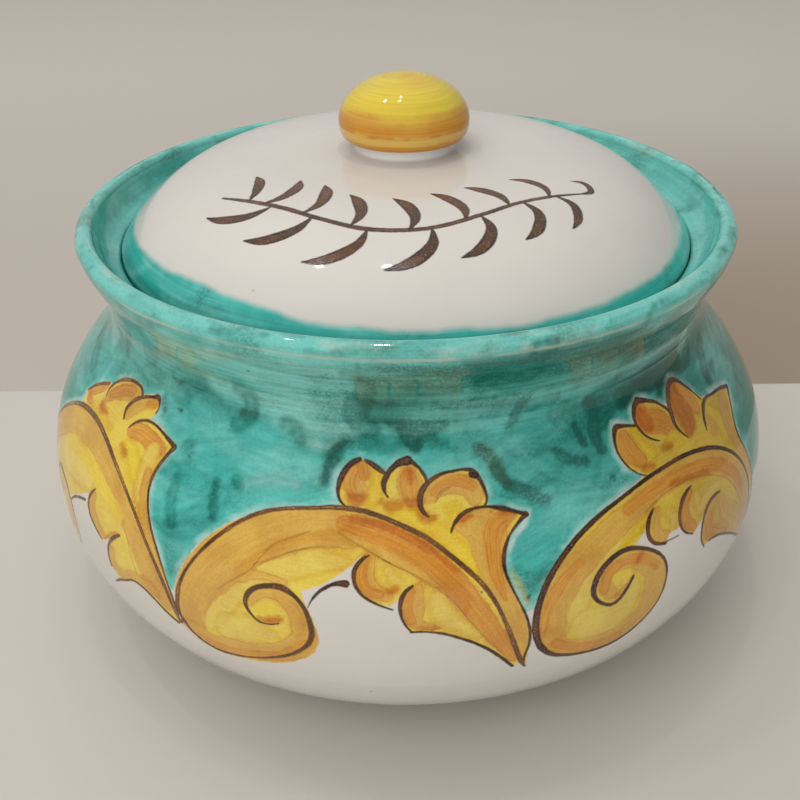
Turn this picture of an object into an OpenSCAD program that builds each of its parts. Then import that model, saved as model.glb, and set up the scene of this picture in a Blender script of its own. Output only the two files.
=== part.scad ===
// Lidded biscuit jar, thrown and turned in earthenware: a low round belly,
// a flared rim with a ledge inside it, a domed lid with a locating flange,
// and a flattened ball knob luted onto the lid's crown.
// Millimetres, +Z up. The origin is the centre of the foot ring's underside.

/* [Jar body] */
// Height of the jar without its lid, foot to the top of the rim
jar_h = 141; // [125:0.5:160]
// Outer radius of the flared rim
rim_r = 110; // [107:0.5:118]
// Outer radius of the belly at its widest
belly_r = 129.5; // [120:0.5:140]
// Height of the belly's widest circle
belly_z = 53.5; // [45:0.5:62]
// Outer radius of the neck at its narrowest
neck_r = 102; // [99.5:0.5:105]
// Depth of the neck's narrowest circle below the top of the rim
neck_drop = 26; // [23:0.5:30]
// Thickness of the thrown wall
wall_t = 6; // [4.5:0.25:7]
// Thickness of the floor
floor_t = 6.5; // [5:0.25:9]

/* [Rim] */
// Width of the lip across its rolled edge
lip_w = 5.8; // [5:0.1:7]
// Drop from the top of the lip to its widest circle
lip_drop = 3.6; // [2.5:0.1:4.5]
// Depth of the lid's ledge below the top of the rim
ledge_drop = 14.5; // [12:0.25:17]
// Radius of the throat that the ledge leaves clear
throat_r = 84; // [80:0.5:87]
// Width of the ledge's flat face
ledge_w = 13; // [11:0.25:14]
// Thickness of the ledge at the throat
ledge_t = 6; // [4.5:0.25:8]

/* [Foot] */
// Outer radius of the foot ring
foot_r = 72; // [64:0.5:80]
// Height of the foot ring on its outside
foot_h = 3; // [2:0.25:4.5]
// Width of the foot ring
foot_w = 7.5; // [5:0.25:10]
// Depth of the turned recess inside the foot ring
recess_d = 2.5; // [1.5:0.1:3.5]

/* [Lid] */
// Clearance between the lid's edge and the rim around it
lid_gap = 1.5; // [1.2:0.1:3]
// Height of the lid's edge above the ledge, where the dome starts
edge_h = 4.4; // [3.4:0.1:6]
// Rise of the dome from the lid's edge to its crown
dome_h = 26.5; // [18:0.5:34]
// Fullness of the dome: 2 is a plain bowl, more is a flatter crown
dome_power = 5; // [3.6:0.1:6]
// Thickness of the lid's shell
lid_t = 5; // [4:0.25:6]
// Depth of the locating flange below the ledge
flange_h = 9; // [6:0.25:14]
// Thickness of the locating flange
flange_t = 5; // [4:0.25:6.5]
// Clearance between the flange and the throat
flange_gap = 1.4; // [0.8:0.1:2.5]

/* [Knob] */
// Radius of the knob at its widest
knob_r = 21.6; // [19.5:0.1:26]
// Height of the knob above the lid's crown
knob_h = 24.4; // [22:0.1:32]
// Height of the knob's widest circle above the lid's crown
knob_wide_h = 9.5; // [8.5:0.1:12]
// Height of the short neck under the ball
knob_neck_h = 3.9; // [3:0.1:5]
// Radius of the short neck at its narrowest
knob_neck_r = 15; // [13:0.1:16.5]
// Radius of the knob's foot, where it is luted to the lid
knob_foot_r = 24; // [20:0.1:28]

/* [Hidden] */
$fn = 96;

// Points in each curved stretch of a turned profile
steps = 12;
// Radius that the sponge and the glaze leave on a sharp edge
edge_r = 0.8;
// Radius of the lip's inner shoulder, over which the flare's face begins
lip_edge_r = 2.4;
// Radius under the lid's outer edge
lid_edge_r = 2.2;
// Step outwards and down from the neck to the shoulder's inflection
shoulder_step = [8, -16.5];
// Direction of the wall there, running upwards
shoulder_run = [-0.67, 0.742];
// Height of the upright wall round the lid's edge, above the ledge
seat_h = 4;
// Thickness of the knob's foot at its smoothed-over edge
knob_edge_t = 0.5;

neck_z = jar_h - neck_drop;
lip_z = jar_h - lip_drop;
lip_in_r = rim_r - lip_w;
ledge_z = jar_h - ledge_drop;
ledge_r = throat_r + ledge_w;
ledge_under_z = ledge_z - ledge_t;
floor_z = recess_d + floor_t;
foot_in_r = foot_r - foot_w;
lid_r = ledge_r - lid_gap;
crown_z = ledge_z + edge_h + dome_h;
flange_r = throat_r - flange_gap;
flange_in_r = flange_r - flange_t;

// A point of a cubic Bezier curve through the control points p.
function bezier(p, t) =
    pow(1 - t, 3) * p[0] + 3 * t * pow(1 - t, 2) * p[1]
    + 3 * t * t * (1 - t) * p[2] + pow(t, 3) * p[3];

// The curve's points, without its last, which starts the next stretch.
function stretch(p, n = steps) = [for (i = [0 : n - 1]) bezier(p, i / n)];

// A round corner from angle a to angle b about the centre c.
function corner(c, r, a, b, n = 6) =
    [for (i = [0 : n]) let (w = a + (b - a) * i / n) c + r * [cos(w), sin(w)]];

// The points of an open profile moved sideways by d, to the left of its run.
function inset(pts, d) = [
    for (i = [0 : len(pts) - 1])
        let (run = pts[min(i + 1, len(pts) - 1)] - pts[max(i - 1, 0)],
             side = [-run.y, run.x] / norm(run))
        pts[i] + d * side
];

function reversed(pts) = [for (i = [len(pts) - 1 : -1 : 0]) pts[i]];

// Height of the dome's outer face at radius r: it falls away from the
// crown with the power dome_power of the radius.
function dome_z(r) = crown_z - dome_h * pow(r / lid_r, dome_power);

// A form turned on the wheel: its half profile, swept round the axis.
module turned(profile) {
    rotate_extrude() polygon(profile);
}

// The pot: foot ring, belly, neck, flare, lip, and the ledge inside.
module jar_body() {
    shoulder = [neck_r, neck_z] + shoulder_step;
    low_belly = [
        [foot_r, foot_h], [foot_r + 32, foot_h + 1],
        [belly_r, belly_z * 0.4], [belly_r, belly_z]
    ];
    high_belly = [
        [belly_r, belly_z], [belly_r, belly_z + 20.5],
        shoulder - 18.5 * shoulder_run, shoulder
    ];
    neck = [
        shoulder, shoulder + 8 * shoulder_run,
        [neck_r, neck_z - 7], [neck_r, neck_z]
    ];
    flare = [
        [neck_r, neck_z], [neck_r, neck_z + 7],
        [rim_r - 1.6, lip_z - 7], [rim_r, lip_z]
    ];
    lip = [
        [rim_r, lip_z], [rim_r + 0.3, lip_z + 0.62 * lip_drop],
        [rim_r - 0.45 * lip_w, jar_h], [lip_in_r + lip_edge_r, jar_h]
    ];
    // The flare's inner face drops from the lip and levels out at the lid.
    brim_top = [lip_in_r, jar_h - lip_edge_r - 0.2];
    brim_foot = [ledge_r + 0.6, ledge_z + seat_h];
    brim_w = brim_top.x - brim_foot.x;
    brim_h = brim_top.y - brim_foot.y;
    brim = [
        brim_top, brim_top - [0.25 * brim_w, 0.5 * brim_h],
        brim_foot + [0.5 * brim_w, 0.12 * brim_h], brim_foot
    ];
    side = concat(stretch(low_belly, steps + 4), stretch(high_belly, steps + 4), stretch(neck, 8));
    // The wall's inside runs up to the slope that carries the ledge.
    slope_z = ledge_under_z - (neck_r - wall_t - throat_r);
    hollow = [for (p = inset(side, wall_t)) if (p.y > floor_z + 0.4 && p.y < slope_z) p];

    color("mediumaquamarine")
    turned(concat(
        [[0, recess_d], [foot_in_r - recess_d, recess_d]],
        corner([foot_in_r + edge_r, edge_r], edge_r, 180, 270),
        corner([foot_r - edge_r, edge_r], edge_r, 270, 360),
        side, stretch(flare), stretch(lip),
        corner([lip_in_r + lip_edge_r, jar_h - lip_edge_r], lip_edge_r, 90, 180),
        stretch(brim, 10), [brim_foot],
        [[ledge_r, ledge_z + seat_h - 0.6], [ledge_r, ledge_z]],
        corner([throat_r + edge_r, ledge_z - edge_r], edge_r, 90, 180),
        corner([throat_r + edge_r, ledge_under_z + edge_r], edge_r, 180, 225),
        reversed(hollow),
        [[foot_in_r, floor_z], [0, floor_z]]
    ));
}

// The lid: a domed shell with a flat rim that rests on the ledge, and the
// flange under it that keeps it centred in the throat.
module lid() {
    dome = [for (i = [2 * steps : -1 : 0])
        let (r = knob_foot_r + (lid_r - knob_foot_r) * i / (2 * steps)) [r, dome_z(r)]];
    flange_c = [flange_in_r + flange_t / 2, ledge_z - flange_h + flange_t / 2];
    inside = [for (p = inset(dome, lid_t)) if (p.x < flange_in_r - 0.4 * lid_t) p];

    color("ghostwhite")
    turned(concat(
        [[0, dome_z(0) - lid_t]],
        reversed(inside),
        [[flange_in_r, dome_z(flange_in_r) - 1.6 * lid_t]],
        corner(flange_c, flange_t / 2, 180, 360, 10),
        [[flange_r, ledge_z]],
        corner([lid_r - lid_edge_r, ledge_z + lid_edge_r], lid_edge_r, 270, 360),
        dome,
        [[0, dome_z(0)]]
    ));
}

// The knob: a flattened ball on a short waisted neck.
module knob() {
    wide_z = crown_z + knob_wide_h;
    neck_z = crown_z + knob_neck_h;
    waist = [knob_neck_r, crown_z + 0.6 * knob_neck_h];
    brim = [0.86 * knob_r, neck_z];
    cove = [
        [knob_foot_r, crown_z + knob_edge_t], [knob_foot_r - 5, crown_z + knob_edge_t + 0.1],
        [knob_neck_r, crown_z + 0.35 * knob_neck_h], waist
    ];
    under = [waist, waist + [0, 0.25 * knob_neck_h], brim - [2, 0.5], brim];
    cheek = [brim, brim + [1.6, 0.5], [knob_r, wide_z - 3], [knob_r, wide_z]];
    cap = [for (i = [0 : steps]) let (w = 90 * i / steps)
        [knob_r * cos(w), wide_z + (knob_h - knob_wide_h) * sin(w)]];

    color("gold")
    turned(concat(
        [[0, crown_z], [knob_foot_r, crown_z]],
        stretch(cove, 8), stretch(under, 6), stretch(cheek, 6), cap
    ));
}

jar_body();
lid();
knob();
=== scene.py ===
"""A lidded biscuit jar in painted tin glaze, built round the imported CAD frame.

The jar, lid and knob are turned forms whose profiles repeat the CAD's, in millimetres. The painting is a set
of brush strokes, laid on the surface as vertex attributes that the glaze materials read.
"""

import logging
import math
from collections.abc import Iterator
from dataclasses import dataclass, field, replace
from enum import Enum
from functools import partial

import bpy
import numpy as np
from mathutils import Matrix, Vector


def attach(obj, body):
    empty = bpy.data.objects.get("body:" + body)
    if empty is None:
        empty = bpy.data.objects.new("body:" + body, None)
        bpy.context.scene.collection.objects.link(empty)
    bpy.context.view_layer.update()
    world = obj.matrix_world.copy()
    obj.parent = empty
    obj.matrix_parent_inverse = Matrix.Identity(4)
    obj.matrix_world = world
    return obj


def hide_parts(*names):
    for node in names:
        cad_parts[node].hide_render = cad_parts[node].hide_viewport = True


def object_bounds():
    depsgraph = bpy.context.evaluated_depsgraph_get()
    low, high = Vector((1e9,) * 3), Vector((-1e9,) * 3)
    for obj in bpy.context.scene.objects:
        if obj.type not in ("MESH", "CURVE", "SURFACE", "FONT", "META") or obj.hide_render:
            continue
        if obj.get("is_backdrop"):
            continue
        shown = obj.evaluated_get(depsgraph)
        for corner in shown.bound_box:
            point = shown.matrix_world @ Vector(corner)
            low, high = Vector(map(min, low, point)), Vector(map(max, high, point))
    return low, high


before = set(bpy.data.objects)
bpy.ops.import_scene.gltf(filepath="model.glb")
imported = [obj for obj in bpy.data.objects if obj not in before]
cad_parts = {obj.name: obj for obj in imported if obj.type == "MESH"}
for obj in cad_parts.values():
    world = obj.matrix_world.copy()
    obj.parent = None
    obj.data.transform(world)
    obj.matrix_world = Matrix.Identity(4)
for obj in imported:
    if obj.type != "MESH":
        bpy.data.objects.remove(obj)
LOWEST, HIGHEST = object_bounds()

log = logging.getLogger("biscuit_jar")
MM = 0.001
LAYERS = 3
Random = np.random.Generator
Point = tuple[float, ...]
Path = tuple[Point, ...]
Values = dict[object, object]


# ---------------------------- colour


class Pigment(Enum):
    """The colours in the painter's pots and of the room, some of them painted light and shade, as display
    colours.
    """

    WHITE = (213, 207, 199)
    CLAY = (196, 146, 110)
    CREAM = (216, 196, 172)
    STRAW = (220, 192, 98)
    LEMON = (225, 192, 54)
    OCHRE = (206, 156, 68)
    ORANGE = (204, 120, 32)
    RUST = (184, 92, 28)
    # FOAM is the pale white left beside the leaves, and also a painted highlight along the lip's inner edge.
    FOAM = (186, 216, 206)
    TEAL = (52, 170, 160)
    AQUA = (124, 200, 190)
    DEEP = (20, 114, 102)
    PINE = (8, 62, 54)
    OLIVE = (82, 92, 26)
    INK = (44, 29, 24)
    SEPIA = (150, 96, 48)
    MOSS = (10, 80, 68)
    # The next two are the knob's white: the first in painted shade on its foot, the second in painted light
    # on its neck.
    SHADED_WHITE = (203, 197, 189)
    LIT_WHITE = (250, 248, 244)
    HONEY = (200, 158, 46)
    AMBER = (206, 140, 40)
    CITRON = (216, 190, 60)
    GOLD = (214, 172, 44)
    TABLE = (200, 195, 186)
    # BEYOND and FAR are the floor beyond the line behind the jar, FAR its far part in painted light; SHADE is
    # a painted shadow there.
    BEYOND = (186, 178, 168)
    FAR = (200, 194, 184)
    SHADE = (152, 137, 121)

    @property
    def rgb(self) -> np.ndarray:
        """The colour in linear light, 0 to 1."""
        value = np.array(self.value, float) / 255
        return np.where(value <= 0.04045, value / 12.92, ((value + 0.055) / 1.055) ** 2.4)

    def times(self, share: float) -> Point:
        """The colour in linear light times a share, with full opacity, as shader sockets take it."""
        return (*(self.rgb * share).tolist(), 1.0)

    @property
    def rgba(self) -> Point:
        """The colour in linear light with full opacity."""
        return self.times(1.0)


WHITE, CLAY, CREAM, STRAW, LEMON, OCHRE, ORANGE, RUST = list(Pigment)[:8]
FOAM, TEAL, AQUA, DEEP, PINE, OLIVE, INK, SEPIA = list(Pigment)[8:16]
MOSS, SHADED_WHITE, LIT_WHITE, HONEY, AMBER, CITRON, GOLD, TABLE, BEYOND, FAR, SHADE = list(Pigment)[16:]


# ---------------------------- curves


def bezier(points: list[Point], steps: int) -> np.ndarray:
    """A cubic Bezier curve.

    Args:
        points: its four control points (radius, height) in mm.
        steps: how many points to return.

    Returns:
        The points, one row each.
    """
    p = np.array(points, float)
    t = np.linspace(0, 1, steps)[:, None]
    return (1 - t) ** 3 * p[0] + 3 * (1 - t) ** 2 * t * p[1] + 3 * (1 - t) * t**2 * p[2] + t**3 * p[3]


def arc(centre: Point, radius: float, start: float, end: float, steps: int = 5) -> np.ndarray:
    """A round corner about a centre, between two angles in degrees."""
    w = np.radians(np.linspace(start, end, steps))
    return np.stack([centre[0] + radius * np.cos(w), centre[1] + radius * np.sin(w)], 1)


def arc_length(points: np.ndarray) -> np.ndarray:
    """The distance run along a line of points, at each of them."""
    return np.concatenate([[0.0], np.cumsum(np.linalg.norm(np.diff(points, axis=0), axis=1))])


def resample(points: np.ndarray, at: np.ndarray) -> np.ndarray:
    """The points of a line at the given distances along it."""
    run = arc_length(points)
    return np.stack([np.interp(at, run, points[:, k]) for k in range(points.shape[1])], 1)


def inset(points: np.ndarray, distance: float) -> np.ndarray:
    """An open profile moved sideways by a distance, to the left of its run."""
    run = np.gradient(points, axis=0)
    side = np.stack([-run[:, 1], run[:, 0]], 1) / np.linalg.norm(run, axis=1, keepdims=True)
    return points + distance * side


def flowing(points: np.ndarray, per: int = 8) -> np.ndarray:
    """A smooth line through given points.

    Each span is a cubic that leaves and meets its points along the mean of its neighbours' directions, with
    the square root of its length as its share of the parameter.

    Args:
        points: the points, one row each, with any number of values.
        per: steps to each span.

    Returns:
        Its points.
    """
    p = np.asarray(points, float)
    if len(p) < 3:
        t = np.linspace(0, 1, per + 1)[:, None]
        return p[0] + (p[-1] - p[0]) * t
    dt = np.maximum(np.sqrt(np.linalg.norm(np.diff(p[:, :2], axis=0), axis=1)), 1e-3)
    slope = np.diff(p, axis=0) / dt[:, None]
    mid = (slope[:-1] * dt[1:, None] + slope[1:] * dt[:-1, None]) / (dt[1:] + dt[:-1])[:, None]
    m = np.vstack([1.5 * slope[0] - 0.5 * mid[0], mid, 1.5 * slope[-1] - 0.5 * mid[-1]])
    t = np.linspace(0, 1, per, endpoint=False)[None, :, None]
    h = dt[:, None, None]
    a, b, ma, mb = p[:-1, None], p[1:, None], m[:-1, None] * h, m[1:, None] * h
    leave = (2 * t**3 - 3 * t**2 + 1) * a + (t**3 - 2 * t**2 + t) * ma
    span = leave + (3 * t**2 - 2 * t**3) * b + (t**3 - t**2) * mb
    return np.vstack([span.reshape(-1, p.shape[1]), p[-1:]])


def ease(value: np.ndarray, low: float, high: float) -> np.ndarray:
    """0 below low, 1 above high, a smooth step between, and turned round where low is above high."""
    t = np.clip((value - low) / (high - low), 0, 1)
    return t * t * (3 - 2 * t)


def ripple(value: np.ndarray, seed: float) -> np.ndarray:
    """A wandering line of three sines of unlike wavelengths, between -1 and 1."""
    slow = 0.5 * np.sin(value + 7.3 * seed) + 0.3 * np.sin(2.3 * value + 3.1 * seed + 1)
    return slow + 0.2 * np.sin(5.1 * value + 11.7 * seed)


# ---------------------------- brushwork


def tint(colour: np.ndarray, share: np.ndarray, pigment: Pigment) -> None:
    """Moves a colour layer towards a pigment by a share at each point, in place."""
    colour += share[:, None] * (pigment.rgb - colour)


@dataclass(frozen=True)
class Stroke:
    """One dark line: its path (x, y, half width) in mm, and how dark it lies, 0 to 1."""

    path: Path
    load: float = 0.9


@dataclass(frozen=True)
class Wash:
    """One broad translucent pull: its colour, its path (x, y, half width) in mm, its cover and its edge."""

    colour: Pigment
    path: Path
    cover: float = 0.8
    soft: float = 0.7
    rim: float = 0.25
    bristle: float = 0.35


white, straw, lemon, ochre = (partial(Wash, p) for p in (WHITE, STRAW, LEMON, OCHRE))
orange, rust, sepia, olive = (partial(Wash, p) for p in (ORANGE, RUST, SEPIA, OLIVE))
aqua, deep, pine = (partial(Wash, p) for p in (AQUA, DEEP, PINE))


Lie = dict[str, np.ndarray]


@dataclass
class Canvas:
    """The points of a turned surface laid out flat, and the paint on them.

    x runs round the surface in mm at a reference radius, y along the profile in mm, and scale is the real
    length of 1 mm of x at each point. period is the x after which the surface repeats, far the greatest
    distance kept, and near the distance under which lines crowd each other.
    """

    x: np.ndarray
    y: np.ndarray
    scale: np.ndarray
    period: float
    far: float = 9.0
    near: float = 1.9
    ink: np.ndarray = field(init=False)
    pen: np.ndarray = field(init=False)
    gap: np.ndarray = field(init=False)
    bristle: np.ndarray = field(init=False)

    def __post_init__(self) -> None:
        """Starts with no paint."""
        n = len(self.x)
        self.ink = np.full((LAYERS, n, 3), self.far)
        self.pen = np.zeros((LAYERS, n, 3))
        self.gap = np.full((LAYERS, n), self.far)
        self.bristle = np.stack([self.x, self.y, np.zeros(n)], 1)

    @property
    def side(self) -> np.ndarray:
        """The sine of each point's turn from the front, 1 at the right."""
        return np.sin(2 * math.pi * self.x / self.period)

    def within(self, line: np.ndarray, margin: float) -> Iterator[tuple[np.ndarray, float, Lie]]:
        """Finds the points near a line, for each whole turn by which the line reaches them.

        Yields:
            The points' indices, the shift of the line's x, and how they lie to the line.
        """
        low, high = line[:, :2].min(0) - margin, line[:, :2].max(0) + margin
        for shift in (-self.period, 0.0, self.period):
            across = (self.x > low[0] + shift) & (self.x < high[0] + shift)
            reach = across & (self.y > low[1]) & (self.y < high[1])
            if reach.any():
                at = np.nonzero(reach)[0]
                yield at, shift, self.measure(line, at, shift)

    def measure(self, line: np.ndarray, at: np.ndarray, shift: float) -> Lie:
        """How each point lies to a line of (x, y, half width).

        The nearest place is the one whose distance less the half width there is least, in real mm.

        Returns:
            Its offset (two values), distance, half width, run along the line, and side (positive is left).
        """
        k = self.scale[at][:, None]
        px = (line[None, :, 0] + shift - self.x[at][:, None]) * k
        py = line[None, :, 1] - self.y[at][:, None]
        ax, ay, ux, uy = px[:, :-1], py[:, :-1], np.diff(px, axis=1), np.diff(py, axis=1)
        t = np.clip(-(ax * ux + ay * uy) / np.maximum(ux**2 + uy**2, 1e-9), 0, 1)
        cx, cy = ax + t * ux, ay + t * uy
        width = line[:-1, 2] + t * np.diff(line[:, 2])
        away = np.hypot(cx, cy)
        best = np.argmin(away - width, axis=1)
        row = np.arange(len(at))
        run = arc_length(line[:, :2])
        cross = ux[row, best] * -cy[row, best] - uy[row, best] * -cx[row, best]
        return {
            "offset": np.stack([cx[row, best], cy[row, best]], 1),
            "away": away[row, best],
            "width": width[row, best],
            "run": run[best] + t[row, best] * np.diff(run)[best],
            "side": np.where(cross < 0, -1.0, 1.0),
        }

    def draw(self, strokes: list[Stroke]) -> None:
        """Lays ink lines: in its layer, each point keeps what it needs to know of the line nearest to it.

        A line goes to the layer where it crowds the lines already laid at the fewest points, so that lines
        that touch lie in different layers.
        """
        for stroke in strokes:
            line = flowing(np.array(stroke.path))
            line[:, 2] = np.maximum(line[:, 2], 0.08)
            reached = [(at, m, m["away"] - m["width"]) for at, _, m in self.within(line, 6.0)]
            crowd = [
                sum(((gap < self.near) & (own[at] < self.near)).sum() for at, _, gap in reached)
                for own in self.gap
            ]
            k = int(np.argmin(crowd))
            for at, m, gap in reached:
                near = gap < self.gap[k][at]
                to = at[near]
                self.gap[k][to] = gap[near]
                self.ink[k][to] = np.column_stack([m["offset"][near], m["away"][near]])
                load = np.full(near.sum(), stroke.load)
                self.pen[k][to] = np.column_stack([m["width"][near], load, m["run"][near]])

    def wash(
        self, colour: np.ndarray, washes: list[Wash], rng: Random, keep: bool = False, grow: float = 0.0
    ) -> None:
        """Lays translucent washes over a colour layer, in place.

        Each covers what lies inside its outline, less where its bristles part. Where it pools at its rim the
        colour is raised to a power, as a thicker coat filters the light again.

        Args:
            colour: the layer's linear colour at each point.
            washes: the pulls, in the order they are laid.
            rng: gives each pull its bristles.
            keep: whether the points keep the pull's direction, for the material's fine streaks.
            grow: how far past its own outline each pull reaches, in mm.
        """
        for pull in washes:
            line = flowing(np.array(pull.path))
            line[:, 2] = np.maximum(line[:, 2], 0.1) + grow
            seed = rng.uniform(0, 9)
            for at, _, m in self.within(line, line[:, 2].max() + 1.5):
                gap = m["away"] - m["width"] + 0.35 * ripple(m["run"] * 0.9, seed)
                across = m["side"] * m["away"]
                parted = 0.5 + 0.5 * ripple(across * 2.1 + 0.6 * ripple(m["run"] * 0.09, seed), seed + 1)
                cover = pull.cover * ease(gap, pull.soft, -pull.soft) * (1 - pull.bristle * parted)
                pooled = 1 + pull.rim * ease(gap, -1.6, -0.5) * ease(gap, 0.7, 0.0)
                inside = cover > 0.02
                to, share = at[inside], cover[inside, None]
                colour[to] = (colour[to] * (1 - share) + pull.colour.rgb * share) ** pooled[inside, None]
                if keep and line[:, 2].max() > 2.4:
                    wet = cover > 0.3
                    pulled = np.column_stack([m["run"], across, np.full(len(at), seed)])
                    self.bristle[at[wet]] = pulled[wet]

    def shape(self, laid: list[Wash], lifted: list[Wash], order: tuple[Wash, ...]) -> np.ndarray:
        """The signed distance to the edge of what some pulls cover, in mm, positive inside.

        Args:
            laid: the pulls that add to the shape.
            lifted: the pulls that cut it away.
            order: all the pulls, in the painter's order.

        Returns:
            The distance at each point, no further than the canvas's far value.
        """
        held = np.full(len(self.x), -self.far)
        for pull in order:
            sign = 1 if pull in laid else -1 if pull in lifted else 0
            if not sign:
                continue
            line = flowing(np.array(pull.path))
            for at, _, m in self.within(line, line[:, 2].max() + 3.0):
                inside = m["width"] - m["away"] + 0.3 * ripple(m["run"] * 0.5, line[0, 0])
                held[at] = np.maximum(held[at], inside) if sign > 0 else np.minimum(held[at], -inside)
        return held

    def edge(self, outline: np.ndarray, held: np.ndarray) -> None:
        """Adds a closed shape to a field of signed distances in mm, positive inside, in place.

        Args:
            outline: the shape's points (x, y) in mm.
            held: the distance so far at each point, which is raised where this shape is nearer.
        """
        ring = np.vstack([outline, outline[:1]])
        line = np.column_stack([ring, np.zeros(len(ring))])
        for at, shift, m in self.within(line, self.far):
            x, y = self.x[at][:, None] - shift, self.y[at][:, None]
            x0, y0, x1, y1 = ring[:-1, 0], ring[:-1, 1], ring[1:, 0], ring[1:, 1]
            rise = np.where(y1 == y0, 1e-9, y1 - y0)
            crossed = ((y0 > y) != (y1 > y)) & (x < x0 + (y - y0) * (x1 - x0) / rise)
            inside = crossed.sum(1) % 2 == 1
            held[at] = np.maximum(held[at], np.where(inside, m["away"], -m["away"]).clip(-self.far, self.far))


# ---------------------------- the ornament


@dataclass(frozen=True)
class Scroll:
    """One leafy scroll of the belly's chain, as it was painted.

    x is mm round the belly from the front, y mm up the wall from the foot. crest is the upper outline from
    the left joint to the right one, and hem the lower one back.
    """

    start: float
    end: float
    crest: Path
    hem: Path
    lines: tuple[Stroke, ...]
    washes: tuple[Wash, ...]

    def of(self, *colours: Pigment) -> list[Wash]:
        """Its washes of some colours, in the order they were laid."""
        return [w for w in self.washes if w.colour in colours]


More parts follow.
